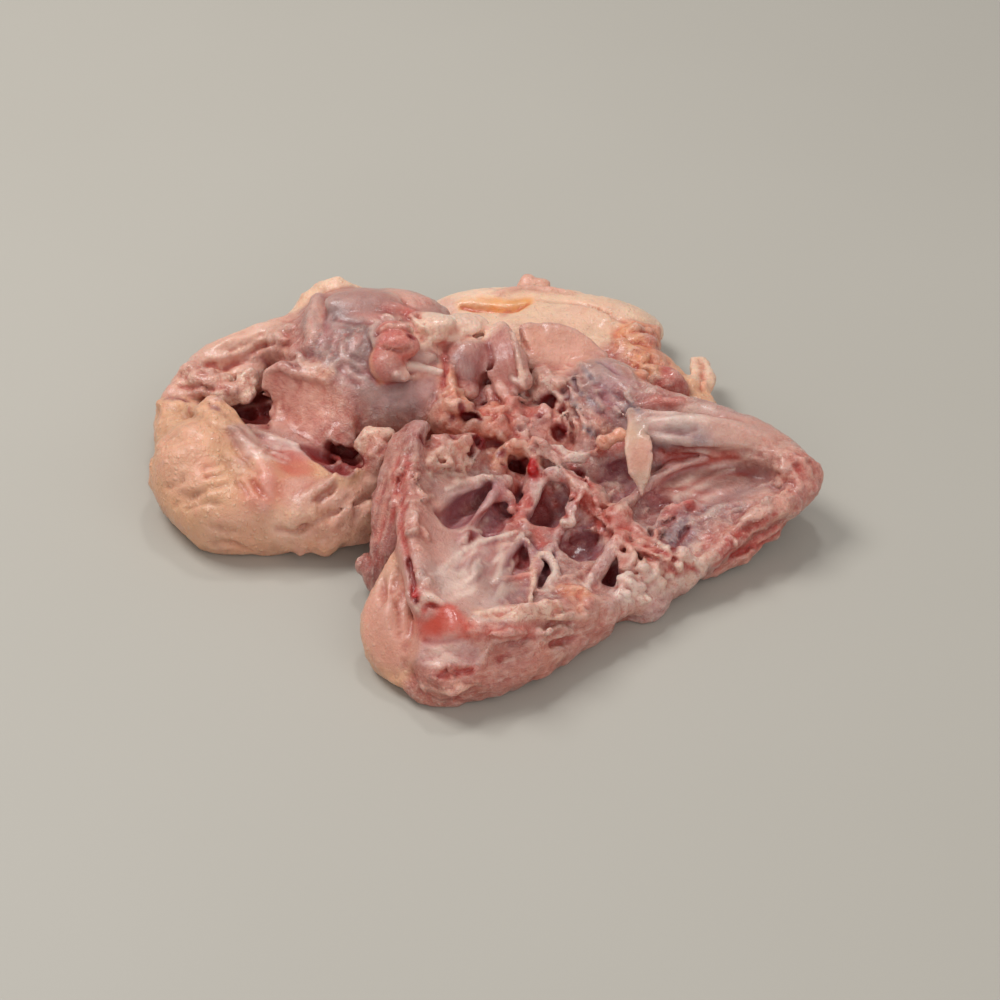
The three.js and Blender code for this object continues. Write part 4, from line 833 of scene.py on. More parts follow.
def backbone_details(clay):
    clay.knob(550, 474, [3, 2.2, 1.8], "bone", 0, 1, 0.3)
    clay.knob(557, 484, [1.5, 2.2, 2.4], "white", 0, SHARP, 1)
    clay.ridge([(536, 448, 1), (552, 455, 1.4), (568, 460, 1.4), (582, 458, 1.2)], "white", 1, 0.3)
    clay.ridge([(556, 458, 1), (568, 472, 1.2), (577, 488, 1)], "pink fat", 1, 0.4)
    holes(clay, [(516, 463, 2.4, 3), (502, 466, 1.2, 2), (517, 487, 0.9, 1.4), (572, 500, 1, 1.4),
                 (561, 540, 1, 1.4)])
    clay.knob(533, 470, [1.8, 2.4, 1.8], "blood", 0, 0.6, 1)
    clay.ridge([(584, 487, 1), (577, 503, 1.1), (570, 514, 1.4)], "bone", 1, 0.5)
    clay.knob(567, 521, [2.4, 2.6, 2], "white", 0, 1, 0.6)
    clay.ridge([(565, 529, 1), (556, 542, 1), (545, 552, 0.7)], "bone", 1, 0.4)
    clay.ridge([(545, 477, 1), (538, 494, 1.1), (530, 510, 0.9)], "bone", 1, 0.4)
    clay.tint([(541, 482, 1), (536, 498, 1)], "white", 1.4, 0.5)
    clay.ridge([(613, 539, 1), (603, 557, 1.1), (594, 572, 1.1), (587, 588, 1)], "bone", 1, 0.5)
    clay.tint([(590, 578, 0.9), (587, 587, 1)], "white", 1.6, 0.8)
    clay.ridge([(524, 526, 0.5), (542, 519, 0.6), (560, 514, 0.5)], "window", 0.8, 0.6)
    clay.ridge([(560, 562, 0.5), (577, 551, 0.6), (592, 545, 0.6)], "film", 0.8, 0.4)
    # Painted shade, dark red, in the groove and the pit below.
    clay.groove([(572, 541, 0.6), (582, 538, 1), (594, 541, 0.7)], 0.8, "cavity")
    clay.ridge([(560, 580, 0.7), (575, 576, 0.8), (590, 566, 0.7)], "pink meat", 0.9, 0.3)
    clay.tint([(543, 500, 2.6), (541, 514, 3)], "cavity", 2.5, 0.9)
    clay.tint([(536, 528, 2), (550, 526, 2)], "red meat", 2.5, 0.6)
    clay.tint([(572, 530, 2), (588, 532, 2)], "window", 2.5, 0.9)
    clay.tint([(568, 556, 2.4), (590, 556, 2)], "window", 2.5, 0.8)
    clay.tint([(580, 566, 2)], "film", 2, 0.6)
    # Painted shade, dark red, low beside the knob.
    clay.tint([(608, 574, 2), (614, 588, 2)], "cavity", 2.5, 0.9)
    clay.tint([(622, 566, 1.4)], "salmon", 2, 0.6)
    clay.tint([(590, 500, 3)], "marrow", 2.5, 0.9)
    clay.knob(597, 514, [2.6, 2.4, 1.8], "fat", 0, 1, 0.3)
    clay.tint([(613, 528, 3), (625, 540, 2)], "marrow", 3, 0.8)
    clay.ridge([(584, 489, 0.8), (600, 501, 0.9), (612, 513, 0.8)], "fat", 1, 0.3)
    clay.knob(630, 586, [4, 3.4, 3], "fat", 0, 1, 1)
    for i, (c, r) in enumerate(((622, 580), (629, 575), (637, 578), (634, 586), (624, 588), (641, 586), (636, 594),
                                (628, 596), (620, 594), (631, 582))):
        clay.knob(c, r, [1.5, 1.3, 1.3], ("white", "fat", "white")[i % 3], 0, SHARP, 0.7)
    for i, (c, r) in enumerate(((648, 578), (650, 589), (656, 572), (644, 600), (646, 568), (660, 582), (664, 560),
                                (674, 566), (668, 575), (654, 556))):
        clay.knob(c, r, [1.8, 1.6, 1.4], ("fat", "white", "pink fat", "white")[i % 4], 0, SHARP, 0.5)
    clay.ridge([(648, 552, 1), (668, 550, 1.2), (690, 558, 1), (706, 566, 0.8)], "white", 1, 0.3)
    clay.ridge([(630, 548, 0.9), (645, 542, 1), (660, 545, 0.8)], "pink fat", 1, 0.2)
    clay.tint([(660, 575, 4), (690, 568, 3)], "fat", 4, 0.5)
    wrinkles(clay, (580, 505), (700, 575), 16, 16, 0.5, 240, 0.9, "red meat")
    wrinkles(clay, (540, 455), (600, 520), 20, 12, 0.4, 241, 0.8, "red meat")
    streaks(clay, (600, 530), (700, 570), 20, 14, 0.6, 242, "white", 0.6)
    scraps(clay, 605, 520, (18, 20), 24, (0.4, 1), ("salmon", "marrow", "fat", "red meat", "white"), 41)
    scraps(clay, 655, 560, (38, 14), 30, (0.5, 1), ("white", "fat", "pink fat", "red meat"), 42)
    scraps(clay, 545, 452, (34, 8), 20, (0.4, 0.9), ("white", "pink fat", "red meat"), 43)
    clay.tint([(505, 490, 2), (512, 510, 2), (508, 525, 2)], "red meat", 2.5, 0.4)
    clay.tint([(497, 456, 2), (520, 447, 2), (530, 450, 1.5)], "orange fat", 2.2, 0.7)
    # Painted shade, dark red, under the film's edge.
    clay.tint([(502, 474, 1.4), (515, 480, 1.4), (527, 478, 1)], "cavity", 1.6, 0.6)
    clay.tint([(600, 510, 3), (618, 528, 4), (640, 542, 3)], "marrow", 4, 0.5)
    clay.tint([(535, 458, 2), (558, 458, 2), (580, 462, 2)], "white", 3, 0.45)
    clay.tint([(628, 585, 4), (642, 583, 4)], "white", 4, 0.85)
    clay.tint([(531, 463, 1.2), (533, 472, 1.6)], "blood", 1.8, 1)
    clay.tint([(529, 498, 1), (527, 506, 0.8)], "blood", 1.4, 0.8)
    clay.tint([(514, 488, 1.6), (520, 502, 1.6), (516, 520, 1.4)], "salmon", 2.5, 0.6)
    clay.tint([(543, 545, 1.4), (536, 536, 1.2)], "salmon", 2, 0.7)
    clay.tint([(586, 496, 1), (606, 512, 1.2), (628, 530, 1.2)], "salmon", 2, 0.5)
    clay.tint([(560, 470, 1), (548, 484, 1)], "white", 1.5, 0.6)


def middle_details(clay):
    """Spongy, torn meat and bone round the cut end of the hip bones."""
    holes(clay, [(486, 442, 3.8, 2.6), (467, 416, 2.2, 2), (470, 450, 1.5, 1.6), (422, 440, 1.4, 2),
                 (560, 432, 2.2, 2.4), (548, 403, 2.8, 3), (452, 436, 1, 1.4), (578, 472, 1.6, 2.4)])
    clay.tint([(450, 415, 6), (475, 415, 6), (490, 430, 6)], "orange fat", 6, 0.4)
    clay.tint([(510, 410, 6), (530, 425, 6)], "salmon", 6, 0.35)
    clay.ridge([(500, 386, 1.4), (509, 400, 1.6), (517, 416, 1.3), (524, 431, 1)], "pink fat", 1.2, 0.3)
    clay.ridge([(516, 382, 0.8), (527, 402, 0.9), (545, 417, 0.8)], "white", 0.9, 0.3)
    clay.ridge([(488, 388, 1), (494, 404, 1.2), (500, 420, 1)], "pink meat", 1.2, 0.2)
    clay.knob(560, 382, [3.2, 2.6, 1.6], "pink fat", 20, 1.2, -0.3)
    clay.knob(538, 392, [3, 3, 1.8], "pink fat", 0, 1.2, -0.3)
    clay.ridge([(545, 380, 0.9), (556, 392, 1.1), (564, 402, 0.9)], "white", 1, 0.2)
    for i in range(5):
        c = 557 + 9 * i
        clay.ridge([(c, 415 + 2 * i, 0.8), (c + 3, 425 + i, 1), (c + 1, 434, 0.8)], "pink meat", 0.9, 0.3)
    clay.ridge([(586, 455, 0.8), (605, 450, 1), (622, 446, 1)], "red meat", 1, 0.2)
    clay.ridge([(474, 424, 1.6), (486, 430, 1.8), (500, 428, 1.4)], "salmon", 1.2, 0)
    clay.ridge([(440, 452, 1.8), (456, 448, 2), (468, 440, 1.4)], "pink fat", 1.4, 0)
    clay.ridge([(448, 404, 1.6), (462, 410, 1.6), (470, 406, 1.2)], "orange fat", 1.2, 0)
    clay.ridge([(508, 446, 1.2), (524, 440, 1.4), (538, 444, 1)], "salmon", 1, 0.1)
    scraps(clay, 480, 428, (42, 24), 30, (0.8, 1.7), ("pink meat", "pink fat", "orange fat", "salmon", "marrow"), 51)
    scraps(clay, 530, 430, (34, 22), 30, (0.5, 1.2), ("salmon", "white", "pink meat", "red meat", "pink fat"), 54)
    scraps(clay, 545, 400, (30, 22), 26, (0.4, 1), ("pink fat", "white", "pink meat", "film"), 52)
    # Small pits painted dark red, partly painted shade.
    random = np.random.RandomState(53)
    for _ in range(18):
        c, r = random.uniform(445, 575), random.uniform(396, 455)
        clay.pit(c, r, [random.uniform(0.5, 1.3), random.uniform(0.4, 0.9), 1.2], 0, 0.7, "cavity")
    clay.groove([(462, 414, 0.7), (470, 417, 1), (480, 418, 0.6)], 0.7, "dark blood")
    clay.groove([(475, 438, 0.8), (486, 442, 1.4), (499, 444, 0.7)], 0.7, "dark blood")
    clay.tint([(478, 440, 1), (488, 443, 1.4), (498, 444, 0.8)], "dark blood", 1.6, 0.8)
    clay.tint([(556, 434, 1.2), (563, 428, 0.8)], "dark blood", 2, 0.6)
    clay.tint([(530, 426, 3), (536, 440, 3)], "white", 3, 0.35)


def hip_details(clay):
    clay.groove([(520, 336, 0.6), (524, 346, 0.9), (530, 352, 0.6)], 1, "red meat")
    clay.tint([(535, 345, 4), (560, 345, 5), (580, 356, 4)], "pink skin", 5, 0.7)
    streaks(clay, (522, 336), (600, 366), 16, 8, 0.5, 261, "pink fat", 0.4)
    clay.tint([(588, 372, 4), (604, 388, 5), (620, 404, 5)], "grey film", 6, 0.6)
    clay.tint([(612, 398, 2), (622, 410, 2)], "leaden film", 3, 0.6)
    clay.tint([(585, 372, 3), (610, 366, 3)], "film", 3, 0.5)
    folds(clay, (580, 365), (630, 425), 30, 12, 0.6, 262, "film", 0)
    wrinkles(clay, (575, 375), (625, 430), 30, 10, 0.4, 263, 1.2, "leaden film")
    streaks(clay, (580, 368), (640, 420), 26, 14, 0.4, 264, "bone", 0.5)
    streaks(clay, (585, 372), (640, 420), 26, 10, 0.6, 265, "window", 0.5)
    scraps(clay, 565, 372, (26, 8), 12, (0.5, 0.9), ("pink meat", "pink fat", "film"), 61)
    scraps(clay, 605, 405, (30, 22), 16, (0.4, 0.9), ("film", "pink fat", "grey film", "red meat"), 62)


def right_rib_details(clay):
    clay.tint([(612, 478, 4), (625, 492, 4), (612, 500, 3)], "window", 4, 0.75)
    clay.tint([(650, 503, 3), (660, 524, 3), (672, 540, 2)], "window", 4, 0.7)
    clay.tint([(683, 532, 2)], "window", 3, 0.8)
    clay.tint([(655, 463, 2)], "grey film", 2.5, 0.8)
    clay.tint([(700, 480, 4), (735, 480, 5), (765, 476, 4)], "grey film", 6, 0.35)
    clay.tint([(700, 478, 4), (735, 478, 5), (765, 474, 4)], "film", 6, 0.4)
    clay.tint([(705, 505, 3), (740, 496, 3)], "leaden film", 5, 0.25)
    clay.tint([(664, 446, 3), (684, 440, 3), (700, 436, 2)], "leaden film", 4, 0.75)
    clay.tint([(655, 425, 3), (680, 428, 3)], "grey film", 5, 0.4)
    clay.ridge([(703, 458, 0.7), (680, 466, 0.8), (662, 474, 0.9), (652, 480, 0.9)], "bone", 1, 0.2)
    clay.tint([(690, 463, 0.8), (655, 481, 0.9), (630, 500, 1)], "salmon", 1.6, 0.4)
    clay.ridge([(664, 516, 0.8), (678, 509, 1.1), (694, 504, 0.9)], "red meat", 0.8, 0.6)
    # Painted shade, dark red, in the slit beside the rib.
    clay.groove([(686, 528, 0.5), (680, 540, 0.8), (673, 549, 0.6)], 0.8, "cavity")
    clay.ridge([(672, 514, 0.7), (665, 524, 0.8), (657, 538, 0.7)], "salmon", 0.8, 0.2)
    clay.tint([(663, 516, 1)], "blood", 1.4, 0.6)
    folds(clay, (780, 470), (660, 520), 26, 8, 0.5, 270, "film", 0)
    for c, r, w in ((606, 433, 1.6), (613, 439, 1.4), (620, 432, 1.5), (602, 442, 1.3)):
        clay.knob(c, r, [w, w, w], "orange fat", 0, 1, 0.2)
    folds(clay, (640, 470), (600, 510), 20, 8, 0.6, 271, "film", 0)
    wrinkles(clay, (650, 455), (780, 452), 6, 10, 0.5, 272, 1, "brown meat")
    wrinkles(clay, (640, 430), (790, 440), 18, 6, 0.4, 273, 2)
    streaks(clay, (650, 425), (780, 436), 22, 14, 0.5, 274, "white", 0.35)
    streaks(clay, (770, 475), (650, 525), 30, 14, 0.5, 275, "white", 0.35)
    streaks(clay, (640, 480), (600, 510), 18, 10, 0.5, 278, "white", 0.4)
    streaks(clay, (760, 480), (620, 500), 30, 12, 0.6, 276, "red meat", 0.35)
    clay.tint([(720, 420, 4), (755, 430, 4), (785, 445, 4)], "pink fat", 5, 0.5)
    clay.tint([(660, 425, 3), (690, 418, 3)], "white", 4, 0.3)
    clay.tint([(655, 456, 1), (690, 458, 1.2), (735, 457, 1)], "salmon", 2, 0.45)
    # Painted shade, dark red, in the crease at the lower edge.
    clay.groove([(738, 535, 0.5), (745, 528, 0.9), (757, 522, 0.6)], SHARP, "cavity")
    clay.groove([(722, 556, 0.5), (742, 540, 0.8), (765, 522, 0.6)], 1, "red meat")
    for points in ([(700, 562, 0.9), (725, 545, 1), (752, 524, 1), (785, 507, 0.9)],
                   [(788, 455, 1), (800, 460, 1.2), (810, 474, 1.1)], [(782, 468, 0.9), (793, 474, 1.1), (800, 488, 1)]):
        clay.ridge(points, "pink fat", 1.2, -0.1)
    clay.tint([(806, 462, 3), (812, 480, 3), (800, 495, 3)], "red meat", 5, 0.5)
    clay.tint([(745, 545, 3), (770, 532, 3)], "meat", 4, 0.5)
    clay.tint([(760, 500, 3), (780, 494, 2)], "pink fat", 4, 0.6)
    clay.tint([(640, 460, 2), (650, 450, 3)], "pink meat", 4, 0.6)
    wrinkles(clay, (710, 565), (790, 515), 14, 12, 0.5, 277, 1, "red meat")
    scraps(clay, 792, 478, (16, 18), 14, (0.6, 1.1), ("pink meat", "pink fat", "red meat"), 71)
    scraps(clay, 730, 540, (30, 12), 12, (0.5, 0.9), ("pink meat", "red meat", "fat"), 72)
    scraps(clay, 672, 516, (26, 20), 14, (0.4, 0.8), ("film", "white", "bone", "red meat"), 73)
    clay.tint([(666, 513, 1), (680, 507, 1), (692, 505, 0.8)], "blood", 1.4, 0.7)
    clay.tint([(703, 458, 0.8), (668, 471, 1.2), (650, 482, 1.2), (632, 498, 1.2)], "bone", 1.6, 0.9)
    clay.tint([(684, 516, 1.4), (676, 530, 1.8), (668, 540, 1.6)], "leaden film", 2, 0.8)
    clay.tint([(640, 505, 2), (655, 520, 3), (650, 535, 2)], "film", 4, 0.5)


def left_skin_details(clay):
    for c, r, w in ((192, 370, 4), (208, 376, 4.4), (226, 368, 4), (240, 372, 3.4), (200, 390, 3.4), (218, 390, 3.8),
                    (234, 388, 3.4), (222, 358, 3.6), (244, 356, 3)):
        clay.knob(c, r, [w, 0.8 * w, 0.6 * w], "pink fat", 0, 2, -0.4)
    clay.knob(254, 382, [1.6, 2.6, 2], "fat", 0, 1, 0.5)
    clay.knob(247, 399, [2.2, 1.7, 1.5], "fat", 0, 1, 0.3)
    wrinkles(clay, (180, 388), (250, 375), 18, 10, 0.5, 140, 1.4, "pink meat")
    clay.groove([(205, 366, 0.6), (226, 362, 0.8), (246, 355, 0.8), (264, 348, 0.6)], 1.2, "red meat")
    clay.groove([(168, 401, 0.8), (190, 404, 1.1), (215, 411, 1.1)], 1, "brown meat")
    clay.ridge([(162, 404, 1.6), (185, 407, 1.8), (212, 416, 1.8), (232, 430, 1.6)], "skin", 2, -0.2)
    clay.tint([(250, 438, 4), (275, 444, 4), (295, 452, 3)], "film", 4, 0.7)
    clay.tint([(252, 434, 1.6), (272, 442, 2), (288, 448, 1.4)], "white", 4, 0.4)
    clay.tint([(286, 458, 3), (298, 468, 3)], "salmon", 4, 0.65)
    clay.tint([(258, 488, 4), (275, 478, 4), (292, 484, 4)], "salmon", 6, 0.35)
    clay.tint([(262, 490, 3)], "red meat", 5, 0.3)
    clay.tint([(300, 492, 4), (320, 486, 3)], "pink meat", 4, 0.6)
    clay.tint([(189, 410, 0.7)], "blood", 1, 0.5)
    clay.tint([(202, 471, 2)], "orange fat", 3, 0.5)
    clay.tint([(180, 440, 5), (185, 470, 5)], "pink skin", 7, 0.4)
    clay.tint([(240, 540, 8), (290, 545, 8), (340, 535, 6)], "pink skin", 8, 0.4)
    clay.tint([(340, 510, 3), (360, 500, 3), (330, 530, 3)], "pink skin", 5, 0.6)
    clay.tint([(300, 510, 3), (290, 530, 3)], "fat", 5, 0.3)
    clay.tint([(180, 385, 3), (205, 360, 4), (250, 335, 4), (285, 325, 4)], "pink fat", 5, 0.4)
    clay.tint([(190, 372, 3), (225, 348, 4), (270, 330, 4)], "fat", 5, 0.35)
    clay.ridge([(236, 432, 1.2), (258, 456, 1.4), (268, 482, 1.3), (262, 508, 1)], "pink skin", 2.5, -0.5)
    wrinkles(clay, (292, 548), (372, 482), 24, 8, 0.5, 141, 2.4)
    folds(clay, (286, 540), (372, 476), 22, 6, 1.2, 142, "pink skin", -0.5)
    wrinkles(clay, (170, 500), (250, 480), 22, 8, 0.4, 143, 2.4)
    wrinkles(clay, (230, 440), (285, 520), 16, 5, 0.5, 144, 2.4)
    wrinkles(clay, (200, 540), (280, 555), 18, 5, 0.4, 145, 2.4)
    wrinkles(clay, (205, 365), (298, 325), 12, 6, 0.4, 146, 2.2)
    folds(clay, (215, 362), (298, 330), 12, 5, 1.4, 147, "pink skin", -0.5)
    clay.groove([(322, 522, 0.8), (345, 507, 1.1), (370, 498, 1)], 1.4)
    clay.groove([(278, 530, 0.7), (296, 532, 0.8), (305, 525, 0.7)], 1.6)
    clay.ridge([(232, 428, 0.9), (262, 434, 1.1), (296, 446, 1)], "film", 1, 0)
    streaks(clay, (240, 440), (300, 462), 10, 10, 0.4, 148, "white", 0.4)
    scraps(clay, 262, 458, (24, 12), 8, (0.5, 0.9), ("film", "pink meat", "pink fat"), 81)
    scraps(clay, 215, 386, (28, 14), 10, (0.6, 1.2), ("pink fat", "fat", "pink meat"), 82)
    scraps(clay, 283, 345, (12, 16), 6, (0.8, 1.4), ("pink skin", "pink meat"), 83)


def tail_skin_details(clay):
    clay.groove([(463, 307, 1.1), (484, 309, 2.4), (508, 309, 2.4), (527, 303, 0.9)], 1, "orange")
    clay.tint([(463, 306, 1.6), (484, 307, 3), (508, 307, 3), (527, 302, 1.2)], "orange", 2.4, 1)
    clay.tint([(480, 314, 0.7), (508, 313, 0.7)], "red meat", 1.2, 0.5)
    clay.tint([(455, 326, 3), (490, 326, 3), (514, 328, 3)], "fat", 4, 0.7)
    clay.ridge([(500, 293, 1), (525, 288, 1.3), (550, 290, 1.2), (572, 293, 1)], "pink skin", 1.2, 0.1)
    clay.tint([(515, 288, 2), (545, 287, 2)], "pink skin", 3, 0.6)
    clay.tint([(575, 318, 5), (600, 312, 5)], "pink skin", 6, 0.35)
    clay.tint([(470, 300, 5), (450, 292, 4)], "fat", 5, 0.3)
    clay.groove([(540, 300, 0.5), (580, 304, 0.6), (625, 322, 0.5)], 1.6)
    clay.groove([(701, 361, 0.6), (702, 378, 0.7), (702, 390, 0.6)], 1.6)
    clay.tint([(701, 366, 0.8), (702, 388, 0.8)], "orange fat", 1.4, 0.5)
    clay.knob(645, 342, [2.6, 2.2, 1.8], "white", 0, 1, 0.5)
    for i, (c, r) in enumerate(((626, 332), (636, 328), (648, 330), (622, 344), (632, 352), (642, 360), (652, 352),
                                (634, 340), (650, 368), (640, 374))):
        clay.knob(c, r, [2.2, 1.8, 1.3], ("orange fat", "fat", "orange fat")[i % 3], 0, 1.3, 0)
    clay.tint([(628, 330, 3), (640, 350, 3), (648, 366, 2)], "orange", 4, 0.4)
    clay.tint([(655, 384, 3), (668, 390, 3)], "salmon", 3, 0.4)
    clay.ridge([(636, 405, 1.1), (658, 402, 1.3), (680, 402, 1)], "red meat", 1, 0.1)
    clay.ridge([(656, 372, 0.8), (690, 390, 0.9), (725, 405, 0.9)], "tail skin", 1, 0.2)
    scraps(clay, 646, 358, (16, 22), 22, (0.5, 1.1), ("orange fat", "fat", "red meat", "pink fat"), 91)


def near_corner_details(clay):
    clay.ridge([(416, 606, 0.9), (427, 599, 1.2), (441, 604, 0.9)], "white", SHARP, 0.4)
    clay.groove([(424, 610, 0.5), (430, 605, 0.7), (440, 609, 0.5)], SHARP, "red meat")
    clay.tint([(448, 612, 1), (440, 624, 2), (432, 632, 2)], "salmon", 3, 1)
    clay.tint([(450, 616, 1.4), (458, 628, 2), (446, 630, 3)], "salmon", 3, 1)
    clay.tint([(428, 652, 2.4), (446, 650, 2.4), (464, 660, 3)], "bone", 3.5, 0.8)
    clay.tint([(432, 658, 1.4), (446, 656, 1.4)], "white", 3, 0.5)
    clay.groove([(436, 677, 0.8), (450, 673, 1.2), (472, 670, 0.8)], 1, "red meat")
    clay.groove([(424, 641, 0.5), (445, 642, 0.6), (468, 638, 0.5)], 1)
    clay.ridge([(424, 688, 1), (450, 690, 1.3), (476, 684, 1)], "pink meat", 1, 0.1)
    clay.groove([(398, 500, 0.6), (403, 540, 0.7), (410, 572, 0.8), (415, 600, 0.7)], SHARP, "red meat")
    # Painted shade, dark red, in the groove.
    clay.groove([(408, 560, 0.8), (412, 580, 1), (416, 600, 0.8)], SHARP, "cavity")
    clay.tint([(414, 588, 1), (415, 594, 1)], "blood", 1.4, 0.7)
    clay.tint([(388, 445, 4), (392, 465, 4)], "pink meat", 5, 0.6)
    # The strip is darkened with the dark red, partly painted shade.
    clay.tint([(388, 485, 5), (384, 515, 5), (380, 545, 4)], "cavity", 5, 0.3)
    clay.tint([(400, 590, 3), (402, 620, 3), (405, 650, 3)], "pink meat", 4, 0.5)
    clay.tint([(385, 580, 5), (382, 620, 5), (395, 650, 4)], "pink skin", 6, 0.75)
    clay.tint([(388, 600, 5), (388, 640, 5)], "pink meat", 7, 0.4)
    clay.tint([(388, 600, 5), (388, 640, 5)], "salmon", 7, 0.12)
    wrinkles(clay, (408, 445), (378, 560), 12, 8, 0.5, 300, 1.2, "red meat")
    streaks(clay, (405, 440), (376, 570), 14, 12, 0.4, 301, "pink fat", 0.3)
    wrinkles(clay, (395, 565), (388, 650), 14, 8, 0.45, 302, 1.8)
    wrinkles(clay, (420, 655), (470, 665), 10, 5, 0.45, 303, 1.4)
    scraps(clay, 372, 450, (12, 14), 8, (0.6, 1.1), ("fat", "meat", "orange fat"), 102)
    scraps(clay, 460, 676, (30, 12), 8, (0.6, 1.1), ("pink meat", "meat", "pink fat"), 103)


SMALL_FORMS = [thigh_details, sheet_details, left_rib_details, backbone_details, middle_details, hip_details,
               right_rib_details, left_skin_details, tail_skin_details, near_corner_details]


# Surface relief and colour, vertex by vertex

def spots(p, size, seed):
    """Distance to the nearest of scattered points, in units of their spacing."""
    table = np.random.RandomState(seed).uniform(0.15, 0.85, (16, 16, 16, 3)).astype(np.float32)
    q = p / size + 1000
    cell = np.floor(q).astype(np.int32)
    best = np.full(len(p), 9, np.float32)
    for i in (-1, 0, 1):
        for j in (-1, 0, 1):
            for k in (-1, 0, 1):
                other = cell + (i, j, k)
                centre = other + table[tuple((other % 16).T)]
                off = q - centre
                best = np.minimum(best, (off * off).sum(1))
    return np.sqrt(best)


def along_fibres(p, fibre, squeeze):
    """Points squeezed along the fibres, so that noise on them runs in streaks."""
    return p - squeeze * (p * fibre).sum(1)[:, None] * fibre


def weigh(clay, points):
    """Linear colour, texture shares and fibre direction of each vertex, from the shapes round it."""
    count = len(points)
    colour = np.zeros((count, 3), np.float32)
    texture = np.zeros((count, 4), np.float32)
    total = np.full(count, 1e-6, np.float32)
    nearest = np.full(count, FAR, np.float32)
    fibre = np.zeros((count, 3), np.float32)
    ragged = [0.5 * noise(points, 3.2, seed) + 0.35 * noise(points, 1.4, seed + 1) for seed in (5, 7)]
    names = list(TISSUES)
    bent = points + uneven(points)
    for shape, tissue, grain in clay.record:
        mine = np.nonzero(((points > shape.low - 4) & (points < shape.high + 4)).all(1))[0]
        if not len(mine):
            continue
        turn = 2.4 * names.index(tissue)
        d = shape.distance(bent[mine])
        d = d + ragged[0][mine] * math.cos(turn) + ragged[1][mine] * math.sin(turn)
        share = np.exp(-np.clip(d, -3, 5) / 0.6)
        rgb, kinds = TISSUES[tissue]
        colour[mine] += share[:, None] * vec(rgb)
        texture[mine] += share[:, None] * vec(kinds)
        total[mine] += share
        closer = d < nearest[mine]
        nearest[mine[closer]] = d[closer]
        way = vec(grain)
        fibre[mine[closer]] = way / max(math.sqrt(float(way @ way)), 1e-6)
    colour /= total[:, None]
    texture /= total[:, None]
    for shape, tissue, fade, strength in clay.strokes:
        reach = fade + 1
        mine = np.nonzero(((points > shape.low - reach) & (points < shape.high + reach)).all(1))[0]
        if not len(mine):
            continue
        d = shape.distance(points[mine]) + 0.25 * fade * ragged[0][mine]
        share = np.clip(1 - d / fade, 0, 1)
        share = (strength * share * share * (3 - 2 * share))[:, None]
        rgb, kinds = TISSUES[tissue]
        colour[mine] += share * (vec(rgb) - colour[mine])
        texture[mine] += share * (vec(kinds) - texture[mine])
    return colour, texture, fibre


class Skin:
    """The clay's closed surface, with what each vertex needs to be moved and coloured."""

    def __init__(self, points, quads):
        self.points, self.quads = points, quads
        self.ends = np.vstack([quads[:, [i, (i + 1) % 4]] for i in range(4)])
        self.degree = np.bincount(self.ends.ravel(), minlength=len(points)).astype(np.float32)

    def around(self, values):
        """The mean of each vertex's neighbours."""
        a, b = self.ends.T
        total = [np.bincount(a, v[b], len(values)) + np.bincount(b, v[a], len(values)) for v in values.T]
        return (np.array(total).T / self.degree[:, None]).astype(np.float32)

    def normals(self):
        p = self.points[self.quads]
        face = np.cross(p[:, 2] - p[:, 0], p[:, 3] - p[:, 1])
        total = np.zeros_like(self.points)
        for axis in range(3):
            for corner in range(4):
                total[:, axis] += np.bincount(self.quads[:, corner], face[:, axis], len(self.points))
        return total / (np.sqrt((total ** 2).sum(1))[:, None] + 1e-9)

    def relief(self, rounds):
        """How far each vertex stands out of the smoothed surface, in millimetres."""
        smooth = self.points
        for _ in range(rounds):
            smooth = self.around(smooth)
        return ((self.points - smooth) * self.normals()).sum(1)

    def move(self, height):
        """Moves vertices along their normals, but less and less towards the flat underside."""
        rise = np.clip(self.points[:, 2] / 3, 0, 1)
        self.points = self.points + (height * rise)[:, None] * self.normals()
        self.points[:, 2] = np.maximum(self.points[:, 2], 0)


def largest_body(points, quads):
    """Leaves out loose scraps and sealed hollows."""
    label = np.arange(len(points))
    a = np.hstack([quads[:, i] for i in range(4)])
    b = np.hstack([quads[:, (i + 1) % 4] for i in range(4)])
    while True:
        before = label
        least = np.minimum(label[a], label[b])
        label = label.copy()
        np.minimum.at(label, a, least)
        np.minimum.at(label, b, least)
        label = label[label]
        if (label == before).all():
            break
    main = np.bincount(label).argmax()
    keep = label == main
    index = np.cumsum(keep) - 1
    return points[keep], index[quads[keep[quads[:, 0]]]]


def roughen(clay):
    """Uneven flesh: gentle noise added to the clay near its surface, then the flat underside."""
    near = np.nonzero(np.abs(clay.field) < 4)
    p = np.stack([clay.axes[i][near[i]] for i in range(3)], 1)
    clay.field[near] += (0.5 * noise(p, 9, 3) + 0.3 * noise(p, 4.5, 4)) * (1 - 0.6 * calm(p))
    clay.field = np.maximum(clay.field, -clay.axes[2][None, None, :])


def dressed(clay):
    points, quads = largest_body(*surface(clay.field, clay.low))
    body = Skin(points, quads)
    colour, texture, fibre = weigh(clay, body.points)
    skin, fat, film, muscle = texture.T
    p = body.points
    streaks = along_fibres(p, fibre, 0.9)
    lobules = np.clip(0.75 - spots(p, 3.2, 21), -0.2, 0.75)
    pores = np.clip(0.28 - spots(p, 4.2, 22), 0, 0.28) * 2
    creases = -np.abs(noise(p * (1, 1, 0.6), 3.4, 23))
    fibres = noise(streaks, 1.7, 24)
    folds = np.abs(noise(p * (0.5, 1, 1), 2.2, 25))
    bumpy = (fat * (0.45 * lobules + 0.2 * noise(p, 1.4, 26)) + film * (0.3 * folds + 0.18 * noise(p, 1.5, 27))
             + 0.14 * noise(p, 1.3, 28))
    body.move(bumpy * (1 - 0.75 * calm(p)) + skin * (0.8 * pores + 0.25 * creases) + muscle * 0.22 * fibres)
    return body, colour, texture, fibre


